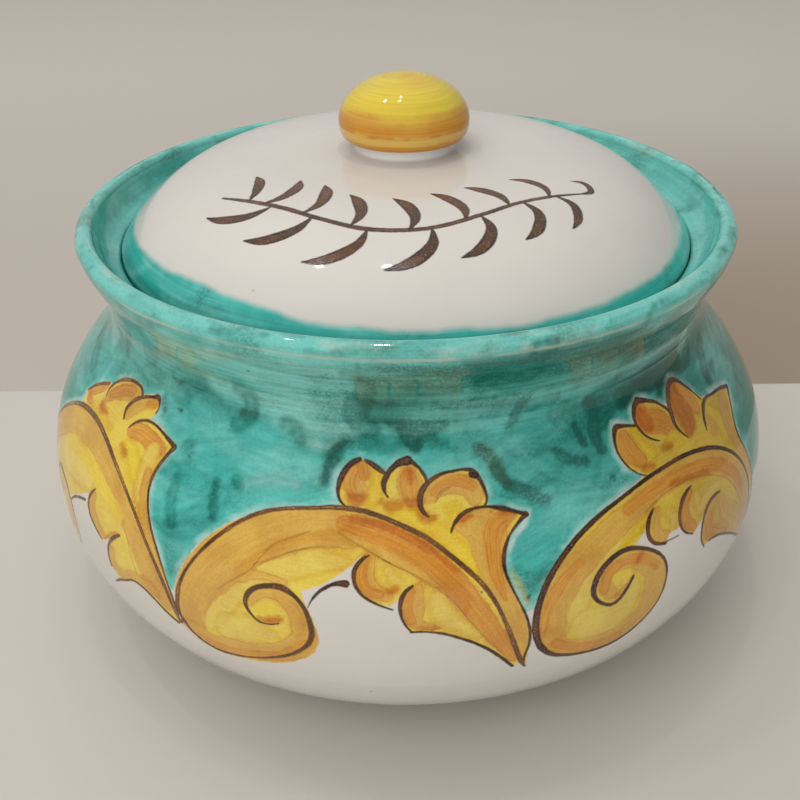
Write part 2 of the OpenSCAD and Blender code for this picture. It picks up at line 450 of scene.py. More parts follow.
FRONT = Scroll(-71.0, 34.2, crest=(
    (-70.6,81), (-72,88), (-71.9,95), (-70.2,100.6), (-67.4,106.4), (-63.9,111.8), (-59.4,116.6),
    (-54.2,120.6), (-48.6,123.8), (-41.2,126.9), (-32,128.6), (-23,129.7), (-20.7,130.4), (-22.8,134),
    (-22.4,138), (-20,141.6), (-16,143.3), (-11.5,141.8), (-7.4,139.6), (-6,141), (-3,143), (0,144),
    (3,141.8), (5.6,138.6), (6.8,137.2), (11,139), (16,139.8), (20,139.9), (22.8,137.6), (24.7,134),
    (24.9,131), (24.3,129.3), (28,128.7), (32,127.3), (36.2,125.4), (32.6,122.8), (29.4,119.6), (27.7,116),
    (27.2,112), (28.2,108), (30.5,102.5), (32.8,96.5), (34.2,90.5), (34.2,86), (33.8,78),
), hem=(
    (31.5,79), (29.4,78.6), (26,82.9), (22,87), (18,90), (13,92.7), (9,94.2), (4,95), (0.8,94.8), (-0.8,97),
    (-2.5,100.5), (-2.7,104), (-1.6,107), (0.2,109.6), (-2.4,105.8), (-5,103), (-9.5,103.6), (-13.4,106),
    (-15.6,109), (-15.9,112), (-14.7,115), (-13.4,117), (-16.5,113.8), (-20.5,110.6), (-25,107.6),
    (-30.5,105.2), (-29,101.5), (-27,97.5), (-25.6,93.5), (-25.2,89.5), (-26.5,85.5), (-29.5,82.5),
    (-34,79.6), (-40,77.3), (-46,75.9), (-54,74.8), (-60,74.8), (-65.5,77),
), lines=(
    Stroke(((-69.6,82.6,0.5), (-71.3,86.5,0.7), (-71.2,91,0.85), (-70.2,96,0.7), (-67.8,102,0.55),
        (-64.8,107,0.5), (-61.2,112,0.6), (-57,116.6,0.65), (-52.5,120.6,0.65), (-47.5,123.9,0.65),
        (-42,126.2,0.6), (-36,127.6,0.55), (-29,128.6,0.55), (-22,129.4,0.7), (-14,129,0.75), (-7,127.3,0.7),
        (0,124.6,0.75), (6,121.6,0.7), (11,117.8,0.7), (16,113.3,0.75), (20.5,108.4,0.75), (24,102.8,0.65),
        (26.6,96.5,0.6), (28.6,90.5,0.75), (30.5,84.5,0.8), (32,80,0.75), (33.5,77,0.4)), 0.72),
    Stroke(((36,125.4,0.9), (33.4,123.6,0.5), (30.3,120.8,0.4), (28.2,117.4,0.55), (27.3,113.6,0.65),
        (27.7,110,0.45), (29.3,105.4,0.38), (31.6,100,0.36), (33.4,95,0.42), (34.2,90,0.5), (34,86,0.45),
        (33,82,0.4), (32.9,78.4,0.4))),
    Stroke(((12.6,122.8,0.2), (13.6,125,0.45), (16,127.4,0.6), (19.5,128.8,0.5), (24,129,0.45),
        (29,128,0.75), (33,126.6,0.55), (36.2,125.2,0.8))),
    Stroke(((-16,142.9,0.7), (-18.8,141.6,0.85), (-21.2,138.6,0.9), (-22.2,135.2,0.7), (-21.6,132,0.45),
        (-19.4,129.9,0.3)), 1.0),
    Stroke(((-14.2,142.8,0.45), (-11,141.4,0.8), (-8.6,140,0.7), (-7.2,139.2,0.5)), 0.85),
    Stroke(((0,142.9,1.4), (-3,142.2,1), (-5.9,140,0.8), (-7.5,137.3,0.8), (-7.5,134.8,0.5),
        (-6.1,132.8,0.2)), 1.0),
    Stroke(((1.5,142.5,0.6), (3.9,140.7,0.5), (5.7,138.2,0.5), (6.4,136.4,0.4))),
    Stroke(((6.2,127.6,0.3), (4.6,129,0.6), (3.7,131.6,0.8), (4.4,134.4,0.8), (6.8,137,0.7),
        (10.8,138.9,0.55), (15,139.5,0.45), (19,139.7,0.5), (21.6,139,0.7), (23.3,136.5,0.65),
        (24.5,133.5,0.5), (24.7,131,0.4), (23.6,129.2,0.3)), 0.82),
    Stroke(((20.8,138.1,0.9), (22.3,137.6,0.8)), 1.1),
    Stroke(((-11.4,117.2,0.25), (-14.2,115,0.6), (-15.5,112,0.65), (-15.1,109,0.55), (-13,106,0.5),
        (-9.5,103.9,0.4), (-4.4,102,0.25)), 0.85),
    Stroke(((1.2,109,0.4), (-1.2,107,0.65), (-2.4,103.6,0.6), (-2.1,100,0.45), (-0.7,96.8,0.35),
        (0.9,94.8,0.3)), 0.85),
    Stroke(((0.4,94.9,0.3), (4,95,0.35), (9,94.2,0.45), (13,92.6,0.5), (18,90,0.5), (22,87,0.55),
        (26,82.9,0.6), (29.6,78.3,0.5))),
    Stroke(((-28.3,100.7,0.15), (-26.5,104.3,0.4), (-23.5,107.2,0.55), (-20.5,108.7,0.65),
        (-17.6,108.9,1.15)), 1.1),
    Stroke(((-37,93.7,0.2), (-39.6,92.8,0.3), (-42.8,92.9,0.35), (-45.4,94.8,0.45), (-47.2,98,0.7),
        (-46.5,101.2,0.85), (-43.8,103.8,0.8), (-40,105.1,0.85), (-36,105.3,1), (-32.5,103.6,0.7),
        (-29.5,100.5,0.65), (-27.9,96.5,0.8), (-27.3,92,0.9), (-28.6,88,0.75), (-31.5,84.9,0.6),
        (-35.5,82,0.55), (-40,79.8,0.5), (-46,77.6,0.35), (-52,76,0.45), (-58,75.4,0.55), (-63,76.6,0.5),
        (-67.2,79.6,0.5), (-70,83.6,0.6)), 0.86),
), washes=(
    straw(((-61,88,5), (-57,97,7), (-50,104,6), (-40,111,6), (-28,114,4), (-18,115,2)), 0.7),
    straw(((-52,87,6), (-46,89,5), (-40,88,3)), 0.7),
    ochre(((-66,82,5), (-67,90,6), (-64,99,7.4), (-57,108.6,8.6), (-49.4,116,8), (-41,121,5.4),
        (-31,124.4,4.4), (-22,125.2,4)), 0.82, rim=0.12),
    ochre(((-49,107.5,0.6), (-42,112.6,1.3), (-35,116.6,1.8), (-27,119.4,1.8), (-17,120.5,2.2)), 0.75,
        rim=0.2),
    ochre(((-67,82,2), (-60,79.4,3.4), (-50,79.8,3.6), (-40,82,3.5), (-32.5,86.5,3.6), (-29.5,93,2.4),
        (-31.5,99.5,2.2), (-36,103,1.6)), 0.8, rim=0.15),
    orange(((-64,79.5,1.4), (-56,77.6,1.6), (-46,79,1.6), (-36,82.6,1.6), (-29.8,88,1.6)), 0.5),
    ochre(((-44,76.8,0.8), (-36,79.4,1.4), (-29,83.4,1.6), (-26,89,1.3), (-26,94,0.9)), 0.8, rim=0.1),
    ochre(((-45.6,98.5,1.4), (-44.3,101.5,1.8), (-40.5,103,1.8), (-36,102.4,2), (-32.5,98.5,2),
        (-32,93,1.8)), 0.8, rim=0.15),
    lemon(((-41,97.5,2.4), (-38.6,98.6,2)), 0.6, rim=0),
    rust(((-36.8,95.3,1.1), (-39.4,94.1,1), (-43,94.1,0.6)), 0.7),
    ochre(((-49,104.3,0.6), (-45,107.3,1.4), (-41,107.6,1.3), (-35,106.6,0.9)), 0.7, rim=0.1),
    orange(((-19.5,125.4,2), (-10,123.6,3), (0,119.6,3.4), (8,114,3.4), (14.5,107,3.6), (20,98.6,3.4),
        (25,90,2.6), (29.5,81.5,1.2)), 0.72, rim=0.16),
    ochre(((-18,122.5,1), (-8,119,2.4), (2,114.4,2.6), (9,109.5,2.4), (14,103,2)), 0.62),
    rust(((-17,127,0.9), (-8,125.6,1.2), (0,122.8,1.4), (8,118.4,1.2), (14,112.6,0.8)), 0.55),
    lemon(((-6,129.6,1.2), (2,127.4,2.4), (9,123.5,2.6), (15,118,2.6), (20,112,1.6)), 0.85),
    ochre(((-17,140.6,2.4), (-17.6,137,3.2), (-15.6,134,2.8)), 0.72, rim=0.12),
    lemon(((-10.5,139.6,1.6), (-10,134,2.2), (-12,130.6,1.4)), 0.8),
    orange(((-14.5,141.2,1.6), (-14,138.8,1.6)), 0.5, rim=0),
    orange(((-17.6,140,1.4), (-18.8,136.6,1.8), (-17.4,133.6,1.4)), 0.5, rim=0.1),
    rust(((-18.8,133.2,0.7), (-16.6,131.6,1.6), (-14,132.8,1.1)), 0.6),
    ochre(((0,140.8,1.8), (0.6,136.4,3.6), (1.4,132.6,2.6)), 0.8, rim=0.14),
    orange(((0,139.6,1.6), (0.4,136,2.6), (1,133.4,1.8)), 0.5, rim=0.1),
    rust(((0.4,139.8,1.4), (0.8,137.6,0.8)), 0.5, rim=0),
    rust(((-0.4,132,0.8), (1.8,131,1.5), (3.6,131.8,0.9)), 0.6),
    rust(((-8,131.8,0.8), (-5,130.4,1.5), (-2,131.2,0.9)), 0.55),
    ochre(((6,132.6,1.8), (10,135.4,2.6), (15,136,3), (20,134.6,3.2), (21,131.6,2.2)), 0.78),
    orange(((8,134,1), (12,136.4,1.6), (17,136.8,1.8), (20.6,135,1.4)), 0.6, rim=0.1),
    sepia(((8.4,131.4,0.3), (10.4,133.8,0.4), (13,135,0.3)), 0.4, rim=0),
    rust(((3.4,128.8,0.8), (5.6,127.2,1.6), (8.2,127.4,0.8)), 0.6),
    lemon(((12,129.6,1), (15,130.6,0.9), (14,126.6,1.6)), 0.7),
    ochre(((16.5,125,2.4), (23,122.6,5.6), (23.6,116,4.6), (24.4,110,3.6), (26.8,104,3.2), (29.6,96,3),
        (31.4,88,2.2), (32.4,82,1.4)), 0.85, rim=0.1),
    orange(((31.6,126,1.8), (26,123.4,2.6), (24.6,117,2.2), (25,110,1.6), (27.2,103,1)), 0.7, soft=1.4,
        rim=0.08),
    rust(((16.4,126.6,1.2), (18.6,127.2,1)), 0.7),
    rust(((26,127.9,0.6), (30,127.2,0.8), (33,125.8,0.6)), 0.55),
    ochre(((-11,116.4,1.6), (-12.4,112,2.8), (-10.4,107.8,2.6), (-6.4,106.2,1.8)), 0.78),
    orange(((-12,116.6,1), (-13.6,111.6,1.9), (-11.8,107.8,1.7), (-8,106.4,1.2)), 0.6, rim=0.1),
    rust(((-5.2,107.3,1), (-3.6,108,1)), 0.75),
    straw(((-6,113.4,1.2), (-4,111,2), (-1.4,109.4,1)), 0.75),
    ochre(((2.4,108,1.8), (1.4,103,3), (2,98.2,2.2), (6.4,96.4,1.2)), 0.75),
    orange(((3,96.4,0.7), (8,96.2,0.9), (10.8,97.1,0.8)), 0.7),
    orange(((1,107.4,1), (-0.6,103.4,1.7), (0.6,98.6,1.5)), 0.6, rim=0.1),
    straw(((8,106,2), (9,101,3.6), (13,97,2.8), (19,92.4,1.6)), 0.75),
    sepia(((-56.5,99.5,0.15), (-51,104.6,0.22), (-46.6,108,0.22), (-43.2,113,0.22), (-39.6,117.3,0.22),
        (-34.6,119.8,0.2), (-29,122.4,0.15)), 0.55, 0.5, 0, 0),
    sepia(((-46,110,0.15), (-40,113,0.24), (-34,116,0.24), (-28,118,0.24), (-20,119,0.2)), 0.55, 0.5, 0, 0),
    sepia(((-20.5,122.6,0.2), (-14,119.6,0.26), (-6,115.6,0.26), (2,111.8,0.26), (9,107.2,0.26),
        (15,100.4,0.26), (20.4,92.4,0.26), (26,85,0.2)), 0.6, 0.5, 0, 0),
))

RIGHT = Scroll(34.4, 138.0, crest=(
    (38.2,82), (36,86), (35,91), (35.6,97), (37.4,102.5), (40.4,107.6), (45.4,112.7), (51.6,116.9),
    (60,120.5), (69.6,123), (78.6,124.8), (81,126), (77.6,127.2), (74.8,130), (73.6,134), (74.2,138.2),
    (77,141.8), (81,141), (85.4,139.8), (86.4,142), (88,144.6), (91,146.3), (95.4,144.9), (100,142.8),
    (103.6,140), (105.4,139.6), (108.2,143.4), (112,145.8), (116.4,144.8), (120,141.4), (123,137.2),
    (125,134.2), (128,133.4), (133,132.4), (140,131.2), (147,128.2), (143.6,125.6), (139,121.8),
    (136.2,118.4), (135.4,115), (136.2,111), (138.4,104.5), (140.3,96), (140.8,88), (138.4,78),
), hem=(
    (136.6,76), (134,76.4), (128,80.5), (121,86), (114,90.4), (108,93.2), (102.4,94.4), (99.8,94.2), (98,97),
    (98.4,101), (100.4,104.4), (97.4,102.6), (94,101.4), (90.2,103.6), (88.5,107.6), (88,105.6), (84,106.4),
    (81.4,103.9), (79.5,104.2), (76.2,106), (74.8,109.5), (76.2,113), (78,115), (74,110.4), (70,108),
    (76.5,103.8), (80.3,100.2), (81.9,96), (81.7,91), (80,85.8), (76.4,81), (71.2,77.3), (66,75), (60,74.2),
    (53,74.8), (47,76.4), (41.8,78.6),
), lines=(
    Stroke(((68,98.6,0.5), (65.4,95.2,0.6), (62.6,92.6,0.65), (60,92,0.6), (57,93.6,0.6), (54.7,96,0.75),
        (53.9,99,1), (55.2,102.4,1.05), (58.4,105.5,0.95), (62.6,107.3,0.85), (67,107.7,0.8),
        (72,106.1,0.65), (76.6,103.5,0.6), (80,100,0.55), (81.5,96,0.5), (81.3,91,0.42), (79.6,86,0.38),
        (76,81.4,0.38), (71,77.8,0.5), (66,75.6,0.65), (60,74.8,0.7), (53,75.6,0.6), (47,77.2,0.7),
        (42,79.4,0.85), (38.6,82.8,1.05), (36.5,87,1.1), (35.8,92,1.15), (36.2,97,1.1), (38,102.4,1.05),
        (41,107.4,1), (46,112.4,0.9), (52,116.5,0.85), (60,119.9,0.75), (70,122.4,0.62), (80,124.2,0.65),
        (90,124.8,0.65), (100,124.4,0.7), (109,122.6,0.75), (116,120.2,0.75), (122,116.8,0.7),
        (127,112.6,0.7), (131,107.4,0.65), (134,101,0.6), (136,94,0.65), (137.2,86,0.75), (137.6,76.6,0.5)),
        1.0),
    Stroke(((81.8,124.8,0.2), (78.2,126.8,0.3), (75.4,130,0.35), (74,134,0.4), (74.6,138,0.6),
        (77,141.2,0.95), (81,140.7,0.55), (85.4,139.4,0.5)), 0.85),
    Stroke(((91,145.6,1.15), (88.2,144,0.9), (86.4,140.6,0.6), (87.2,136.7,0.5), (89.5,134,0.4),
        (93,132,0.2)), 0.88),
    Stroke(((91,145.7,1.1), (95,144.5,0.7), (100,142.3,0.55), (103,139.6,0.5), (104.4,137.4,0.55))),
    Stroke(((106.2,128.2,0.3), (104.1,131,0.5), (103.6,134,0.75), (105.2,138.2,0.9), (108.4,142.6,1.05),
        (112,144.9,1.1), (116,144.2,0.8), (119.6,141,0.55), (122.5,137,0.4), (124.2,133.8,0.3)), 0.86),
    Stroke(((117.6,125.6,0.3), (119.2,128.6,0.6), (122.6,131.6,0.75), (127,132.9,0.6), (133,131.9,0.5),
        (140,130.6,0.6), (146.6,128.2,0.8)), 0.86),
    Stroke(((146.6,128.2,0.7), (143.2,125.8,0.45), (138.8,122,0.4), (136,118.6,0.55), (135,115,0.6),
        (136,111,0.45), (138.2,104.4,0.4), (140.2,96,0.42), (140.6,88,0.45), (138,77.6,0.4))),
    Stroke(((79.6,115.6,0.4), (76.6,113,0.75), (75.2,109.6,0.8), (76.5,106.2,0.65), (79.4,104.6,0.5),
        (81.6,104,0.55))),
    Stroke(((81.6,104.3,0.3), (87.6,103.9,0.16))),
    Stroke(((98,115.4,0.3), (94,114.3,0.7), (90.6,111.6,0.75), (88.9,108,0.65), (90,104.2,0.45),
        (94.2,101.3,0.25)), 0.82),
    Stroke(((112,107.2,0.35), (106,107.3,0.6), (101.6,105,0.65), (98.9,101,0.5), (98.4,97,0.4),
        (100,93.7,0.3)), 0.8),
    Stroke(((102.4,94.6,0.35), (108,93.4,0.5), (114,90.6,0.5), (121,86.2,0.5), (128,80.8,0.5),
        (134.4,76.2,0.45)), 0.8),
), washes=(
    straw(((48,92,4), (50,100,4.5), (57,108,4), (66,112,3), (76,114.4,1.6)), 0.75),
    straw(((52,88,6), (60,87,6), (67,92,4), (66,99,3)), 0.7),
    ochre(((42,84,4), (40.5,91,4.6), (42,99,5), (46.6,105.6,5.2), (54,110.6,4.6), (63,114.8,4),
        (73,117.8,3.6), (84,120.4,3.4), (96,120.8,3.2), (107,118.8,3.4), (116,114.8,3.8), (123,108.6,4),
        (128,100,4), (131,91,3), (135,81,1.6)), 0.85, rim=0.16),
    ochre(((41,86,3), (46,80.6,3.4), (55,78.6,3.6), (64,78.6,3.6), (72,82.4,4.2), (76.4,89.6,4.8),
        (76,97.6,4), (70,103.4,3), (63,104,2.4), (58,100.6,2.6), (59.6,96.4,2.6)), 0.82, rim=0.14),
    orange(((38,90,1.2), (39.6,98,1.8), (43.6,104,1.8), (50,108.6,1.4)), 0.5),
    orange(((42.4,84,1.6), (48,80.4,1.8), (56,77.6,1.4), (64,78,1.4)), 0.6),
    orange(((57.6,98,1.6), (59.2,102,1.8), (64,104.4,1.4), (72,102.8,1.4), (77,98.6,1.4)), 0.6),
    rust(((70,103,0.8), (71.8,104.6,0.7)), 0.6),
    lemon(((62,100.4,1.6), (66,100,1.6)), 0.7, rim=0),
    orange(((61.6,94.2,0.8), (64.8,96,0.8), (67.8,98.4,0.7)), 0.6),
    lemon(((66,109.6,0.8), (71,111.6,1.4), (76.4,114.4,1.2)), 0.7),
    orange(((70,118.6,1.6), (82,120.4,2), (95,120.6,2), (106,118.4,2), (116,114.2,2.4), (123.6,107.4,2.2),
        (128,99,1.6)), 0.6, rim=0.12),
    rust(((90,119.2,0.8), (98,117.8,0.7), (108,115.2,0.6)), 0.5),
    orange(((79,137.6,2.2), (78.8,133.6,3.2), (82,129.6,2.2)), 0.75),
    lemon(((84,138,1.2), (85,133.6,2), (88,129.4,1.6)), 0.8),
    rust(((81,127,1), (85.6,126.6,1)), 0.6),
    orange(((90.6,143.6,2), (91.4,139,3.8), (97,137,3.6), (101,133,2.4)), 0.85),
    rust(((90.4,142,2), (91,138.4,2.4)), 0.55, rim=0.1),
    lemon(((95,129.4,1.4), (100.4,131.4,1.6), (102,128,1.4)), 0.75),
    rust(((92.6,129.6,0.9), (96.4,129.2,1.1)), 0.6),
    rust(((112,143,2), (110,138.4,4), (110.4,133,4), (108,129.4,2)), 0.72, rim=0.12),
    orange(((114.6,142,1.6), (117.4,138,2.6), (118.4,133.4,2.2)), 0.7),
    ochre(((112.6,137.6,1.2), (114,133,1.4)), 0.6, rim=0),
    ochre(((121,128.4,2.4), (124,126,2.4), (121,123.6,1.4)), 0.75),
    lemon(((125,130,2), (127.6,125,2.8), (126.4,119.6,2.2)), 0.85),
    ochre(((141,128.6,1.4), (135.4,126,3), (131.6,120.6,2.6), (132,114,2), (135,106,1.8), (138,96,1.5),
        (139,86,1)), 0.8),
    ochre(((81,114.4,1.2), (78,111,2.2), (79.6,107,2.2), (83.4,106.4,1)), 0.8),
    straw(((84,113,1.6), (86.6,110,2), (86,107.6,1)), 0.75),
    orange(((96.6,114,1), (92.6,111,2), (92,107,2.4), (95,103.6,1.4)), 0.75),
    straw(((99,112,1.8), (99,107.6,2.2), (106,110,2.4), (112,109.6,2)), 0.75),
    ochre(((109,105.6,1.2), (103.6,103.6,2.6), (102.4,99,3), (106,96.4,2), (113,93.4,1.4)), 0.75),
    ochre(((112,104.6,2), (114,99.6,4), (119,94.6,4.4), (126,88,3.4), (131,82,2)), 0.8, soft=1.6, rim=0.06),
    orange(((104,103,1.4), (102.6,98.6,1.8), (107,95.6,1.4), (114,92,1.2)), 0.6, rim=0.08),
    sepia(((76,115.6,0.2), (84,117.8,0.25), (92,118,0.25), (100,117.2,0.25), (109,114,0.25), (117,109,0.25),
        (123,101.6,0.25), (128,92,0.2)), 0.55, 0.5, 0, 0),
))

LEFT = Scroll(-175.6, -71.2, crest=(
    (-175.4,83), (-176.4,90), (-175,98), (-171,105.6), (-165,112), (-158,117.8), (-151,122.2), (-146,125),
    (-148,128.6), (-144.8,132.6), (-140.2,135.6), (-135.4,137.8), (-133,137.6), (-130.6,140.8),
    (-125.4,143.5), (-119,144.9), (-113.4,144.8), (-111.2,142.8), (-108.6,143.6), (-105,144.8), (-102,145.6),
    (-99.6,143.4), (-99.7,140), (-102,137.4), (-98,138), (-92,137), (-84.4,134.8), (-86.2,130.5),
    (-87.8,126), (-88,121), (-86.1,115.6), (-82.6,109.6), (-78.6,103.6), (-75.2,97), (-73.4,92), (-72,88),
    (-71,81),
), hem=(
    (-72.4,80.2), (-77,82.6), (-82,85.6), (-87,87.4), (-91,87.6), (-95.5,85), (-98.6,84.2), (-102.9,86.8),
    (-103.9,90), (-103.4,94.5), (-101,98.4), (-102.4,97.2), (-107,94.2), (-111.8,96.6), (-115.7,99.3),
    (-117.2,103), (-116.4,106), (-119.6,104.6), (-124,101.6), (-129,98.8), (-133.4,96.4), (-130,92),
    (-127.4,85), (-128.4,79), (-133,75.6), (-141,73.6), (-150,73), (-160,73.4), (-169,76.4),
), lines=(
    Stroke(((-143,92.6,0.5), (-148,92,0.5), (-151.6,95,0.6), (-150,98.6,0.7), (-145,99.4,0.75),
        (-139,98.4,0.7), (-134,95.8,0.55), (-130.6,92,0.45), (-128.4,86,0.4), (-129.4,80,0.4), (-135,76,0.4),
        (-145,74,0.45), (-156,73.8,0.5), (-165,75.4,0.55), (-172,79.4,0.6), (-175.4,85,0.7), (-175.8,92,0.8),
        (-173,100.6,0.65), (-167,109,0.6), (-159.4,116.2,0.65), (-151.4,121.4,0.75), (-144.6,124.2,0.9),
        (-137,125.8,0.95), (-128,126.1,0.95), (-120,124.9,0.85), (-112,122.4,0.8), (-104,119,0.7),
        (-97,115.2,0.65), (-91,111,0.6), (-85,105.4,0.65), (-80,99.6,0.75), (-76,93.2,0.85), (-73.6,87,0.75),
        (-71.6,81.6,0.6)), 0.62),
    Stroke(((-84.6,134.2,0.9), (-86.6,130.6,0.65), (-88.2,126,0.62), (-88.4,121,0.55), (-86.6,115.6,0.48),
        (-83.1,109.6,0.5), (-79.1,103.6,0.5), (-75.8,97,0.48), (-73.1,90,0.5), (-71.6,82,0.45)), 0.72),
    Stroke(((-109.6,131.8,0.25), (-107.2,134.7,0.5), (-103.2,136.8,0.5), (-98,137.3,0.45), (-92,136.3,0.5),
        (-85,134.5,0.85)), 0.75),
    Stroke(((-147.6,128.8,0.45), (-144.6,132,0.6), (-140,135,0.6), (-135.2,137.2,0.6)), 0.62),
    Stroke(((-132.4,133.8,0.25), (-133,137,0.55), (-130.2,140.2,0.6), (-125.2,142.8,0.7), (-119,144.2,0.6),
        (-113.6,144,0.6), (-111.6,142.7,0.7)), 0.66),
    Stroke(((-114.4,132.9,0.3), (-116.2,136,0.65), (-114.4,139.5,0.7), (-110,142.3,0.6), (-105,144,0.55),
        (-102,144.8,0.9), (-99.9,142.8,0.4), (-100,140,0.3)), 0.72),
    Stroke(((-113.4,109.2,0.3), (-116,106,0.6), (-116.7,103,0.6), (-115.2,99.6,0.5), (-111.5,97,0.5),
        (-107,94.6,0.3)), 0.68),
    Stroke(((-96.8,101.3,0.55), (-100.5,98.4,0.65), (-103,94.5,0.5), (-103.5,90,0.45), (-102.6,87,0.4)),
        0.66),
    Stroke(((-102,81,0.3), (-98,84,0.5), (-95.4,85.3,0.4), (-91,87.8,0.4), (-87,87.8,0.45), (-82,86,0.5),
        (-77,83,0.6), (-72.4,80.7,0.6)), 0.74),
    Stroke(((-119,102.5,0.5), (-124,100.7,0.5), (-129,98,0.45), (-132.6,94.7,0.3)), 0.78),
), washes=(
    straw(((-160,100,8), (-148,108,8), (-134,110,7), (-120,110,5)), 0.75),
    ochre(((-171,84,4), (-170.6,93,4.6), (-165,102.6,5), (-156,111.6,5), (-145,118,4.6), (-132,121,3.8),
        (-119,120.4,3.6), (-107,116.4,3.4), (-96,109.6,3.6), (-87,101.4,4.2), (-81,93,4), (-76,86,2)), 0.8,
        rim=0.1),
    lemon(((-144,111.6,2), (-132,114.4,2.6), (-120,113.6,2.4), (-108,111,2.4), (-98,107.6,2)), 0.6,
        rim=0.05),
    ochre(((-170,82,3), (-160,78,3.4), (-146,78.6,3.6), (-135,82,3.4), (-133,89,3), (-139,94.6,2.4),
        (-147,95.6,2)), 0.8),
    orange(((-145,129.4,1.4), (-140,132.6,1.8), (-136,135.6,1.2)), 0.7),
    orange(((-144.6,127.8,0.8), (-138,127.8,0.9)), 0.6),
    ochre(((-130.6,134,1.6), (-126,137.4,2.4), (-119,140.4,2.4), (-114.6,141.8,1.4)), 0.8),
    orange(((-130,135.6,1.6), (-124,139.2,2.2), (-117.6,141.6,1.6)), 0.6, soft=1.4, rim=0.08),
    rust(((-132.4,131.4,0.8), (-129.6,130.2,1.3), (-127,130.6,0.9)), 0.6),
    ochre(((-96,124,2), (-92.6,118,2.6), (-89.6,112.6,2), (-85,106,1.4)), 0.7, soft=1.6, rim=0.05),
    orange(((-132,129.6,0.8), (-128,129.2,1.3), (-125,130,0.7)), 0.65),
    ochre(((-113.6,134.6,1.6), (-110.6,139,2.2), (-105,142,1.6), (-102,142.6,1.2)), 0.8),
    orange(((-106,141.6,1.2), (-102.4,142.2,1.2)), 0.6, rim=0),
    orange(((-107.6,131.6,2), (-102,133,2.8), (-95,132.4,3), (-89.6,131.4,1.8)), 0.7),
    rust(((-109,126.4,0.8), (-105,124.6,1)), 0.5),
    lemon(((-106,128,2), (-100,125,3), (-97,120.6,2)), 0.8),
    lemon(((-138,128.2,0.8), (-128,128.6,1), (-119,128,1)), 0.7),
    straw(((-93,130,3), (-92,122,3.4), (-90,115,2), (-85,108,1.4)), 0.7),
    ochre(((-91,124,1.6), (-90,117,1.6), (-86.6,111,1.4), (-81,103,1.2), (-77,95,1)), 0.7),
    ochre(((-113.4,107,1.2), (-114,103,2.2), (-110.6,99,2.2), (-106,96.6,1.4)), 0.75),
    orange(((-98,101,0.8), (-101.6,98.2,1.2), (-104,96,0.8)), 0.6),
    ochre(((-101,94,1.4), (-101,89,2), (-96,87.4,1.6), (-90,90,2), (-82,88.6,2)), 0.7),
    sepia(((-96,106.6,0.2), (-92.6,101.6,0.22), (-90.6,96.6,0.22), (-88.4,91.6,0.2)), 0.35, 0.5, 0, 0),
))


def placed(scroll: Scroll, start: float, width: float, lift: float, phase: float) -> Scroll:
    """The same scroll painted again elsewhere, with the small differences of a second try.

    Its x is stretched to the new width, and both values sway by about a millimetre along slow waves.

    Args:
        scroll: the scroll to repeat.
        start: the new left joint's x in mm.
        width: the new width in mm.
        lift: how much higher it sits, in mm.
        phase: where its waves start.

    Returns:
        The moved scroll.
    """
    share = width / (scroll.end - scroll.start)

    def move(points: Path) -> Path:
        """The points at the new place."""
        p = np.array(points, float)
        x, y = p[:, 0] - scroll.start, p[:, 1]
        inner = np.clip(np.minimum(x, scroll.end - scroll.start - x) / 8, 0, 1)
        p[:, 0] = start + share * x + inner * 1.3 * np.sin(y / 11 + phase)
        p[:, 1] = y + lift + inner * 1.5 * np.sin(x / 15 + 2 * phase)
        return tuple(map(tuple, p))

    parts = (scroll.lines, scroll.washes)
    moved = (tuple(replace(s, path=move(s.path)) for s in part) for part in parts)
    return Scroll(start, start + width, move(scroll.crest), move(scroll.hem), *moved)


# ---------------------------- turned forms


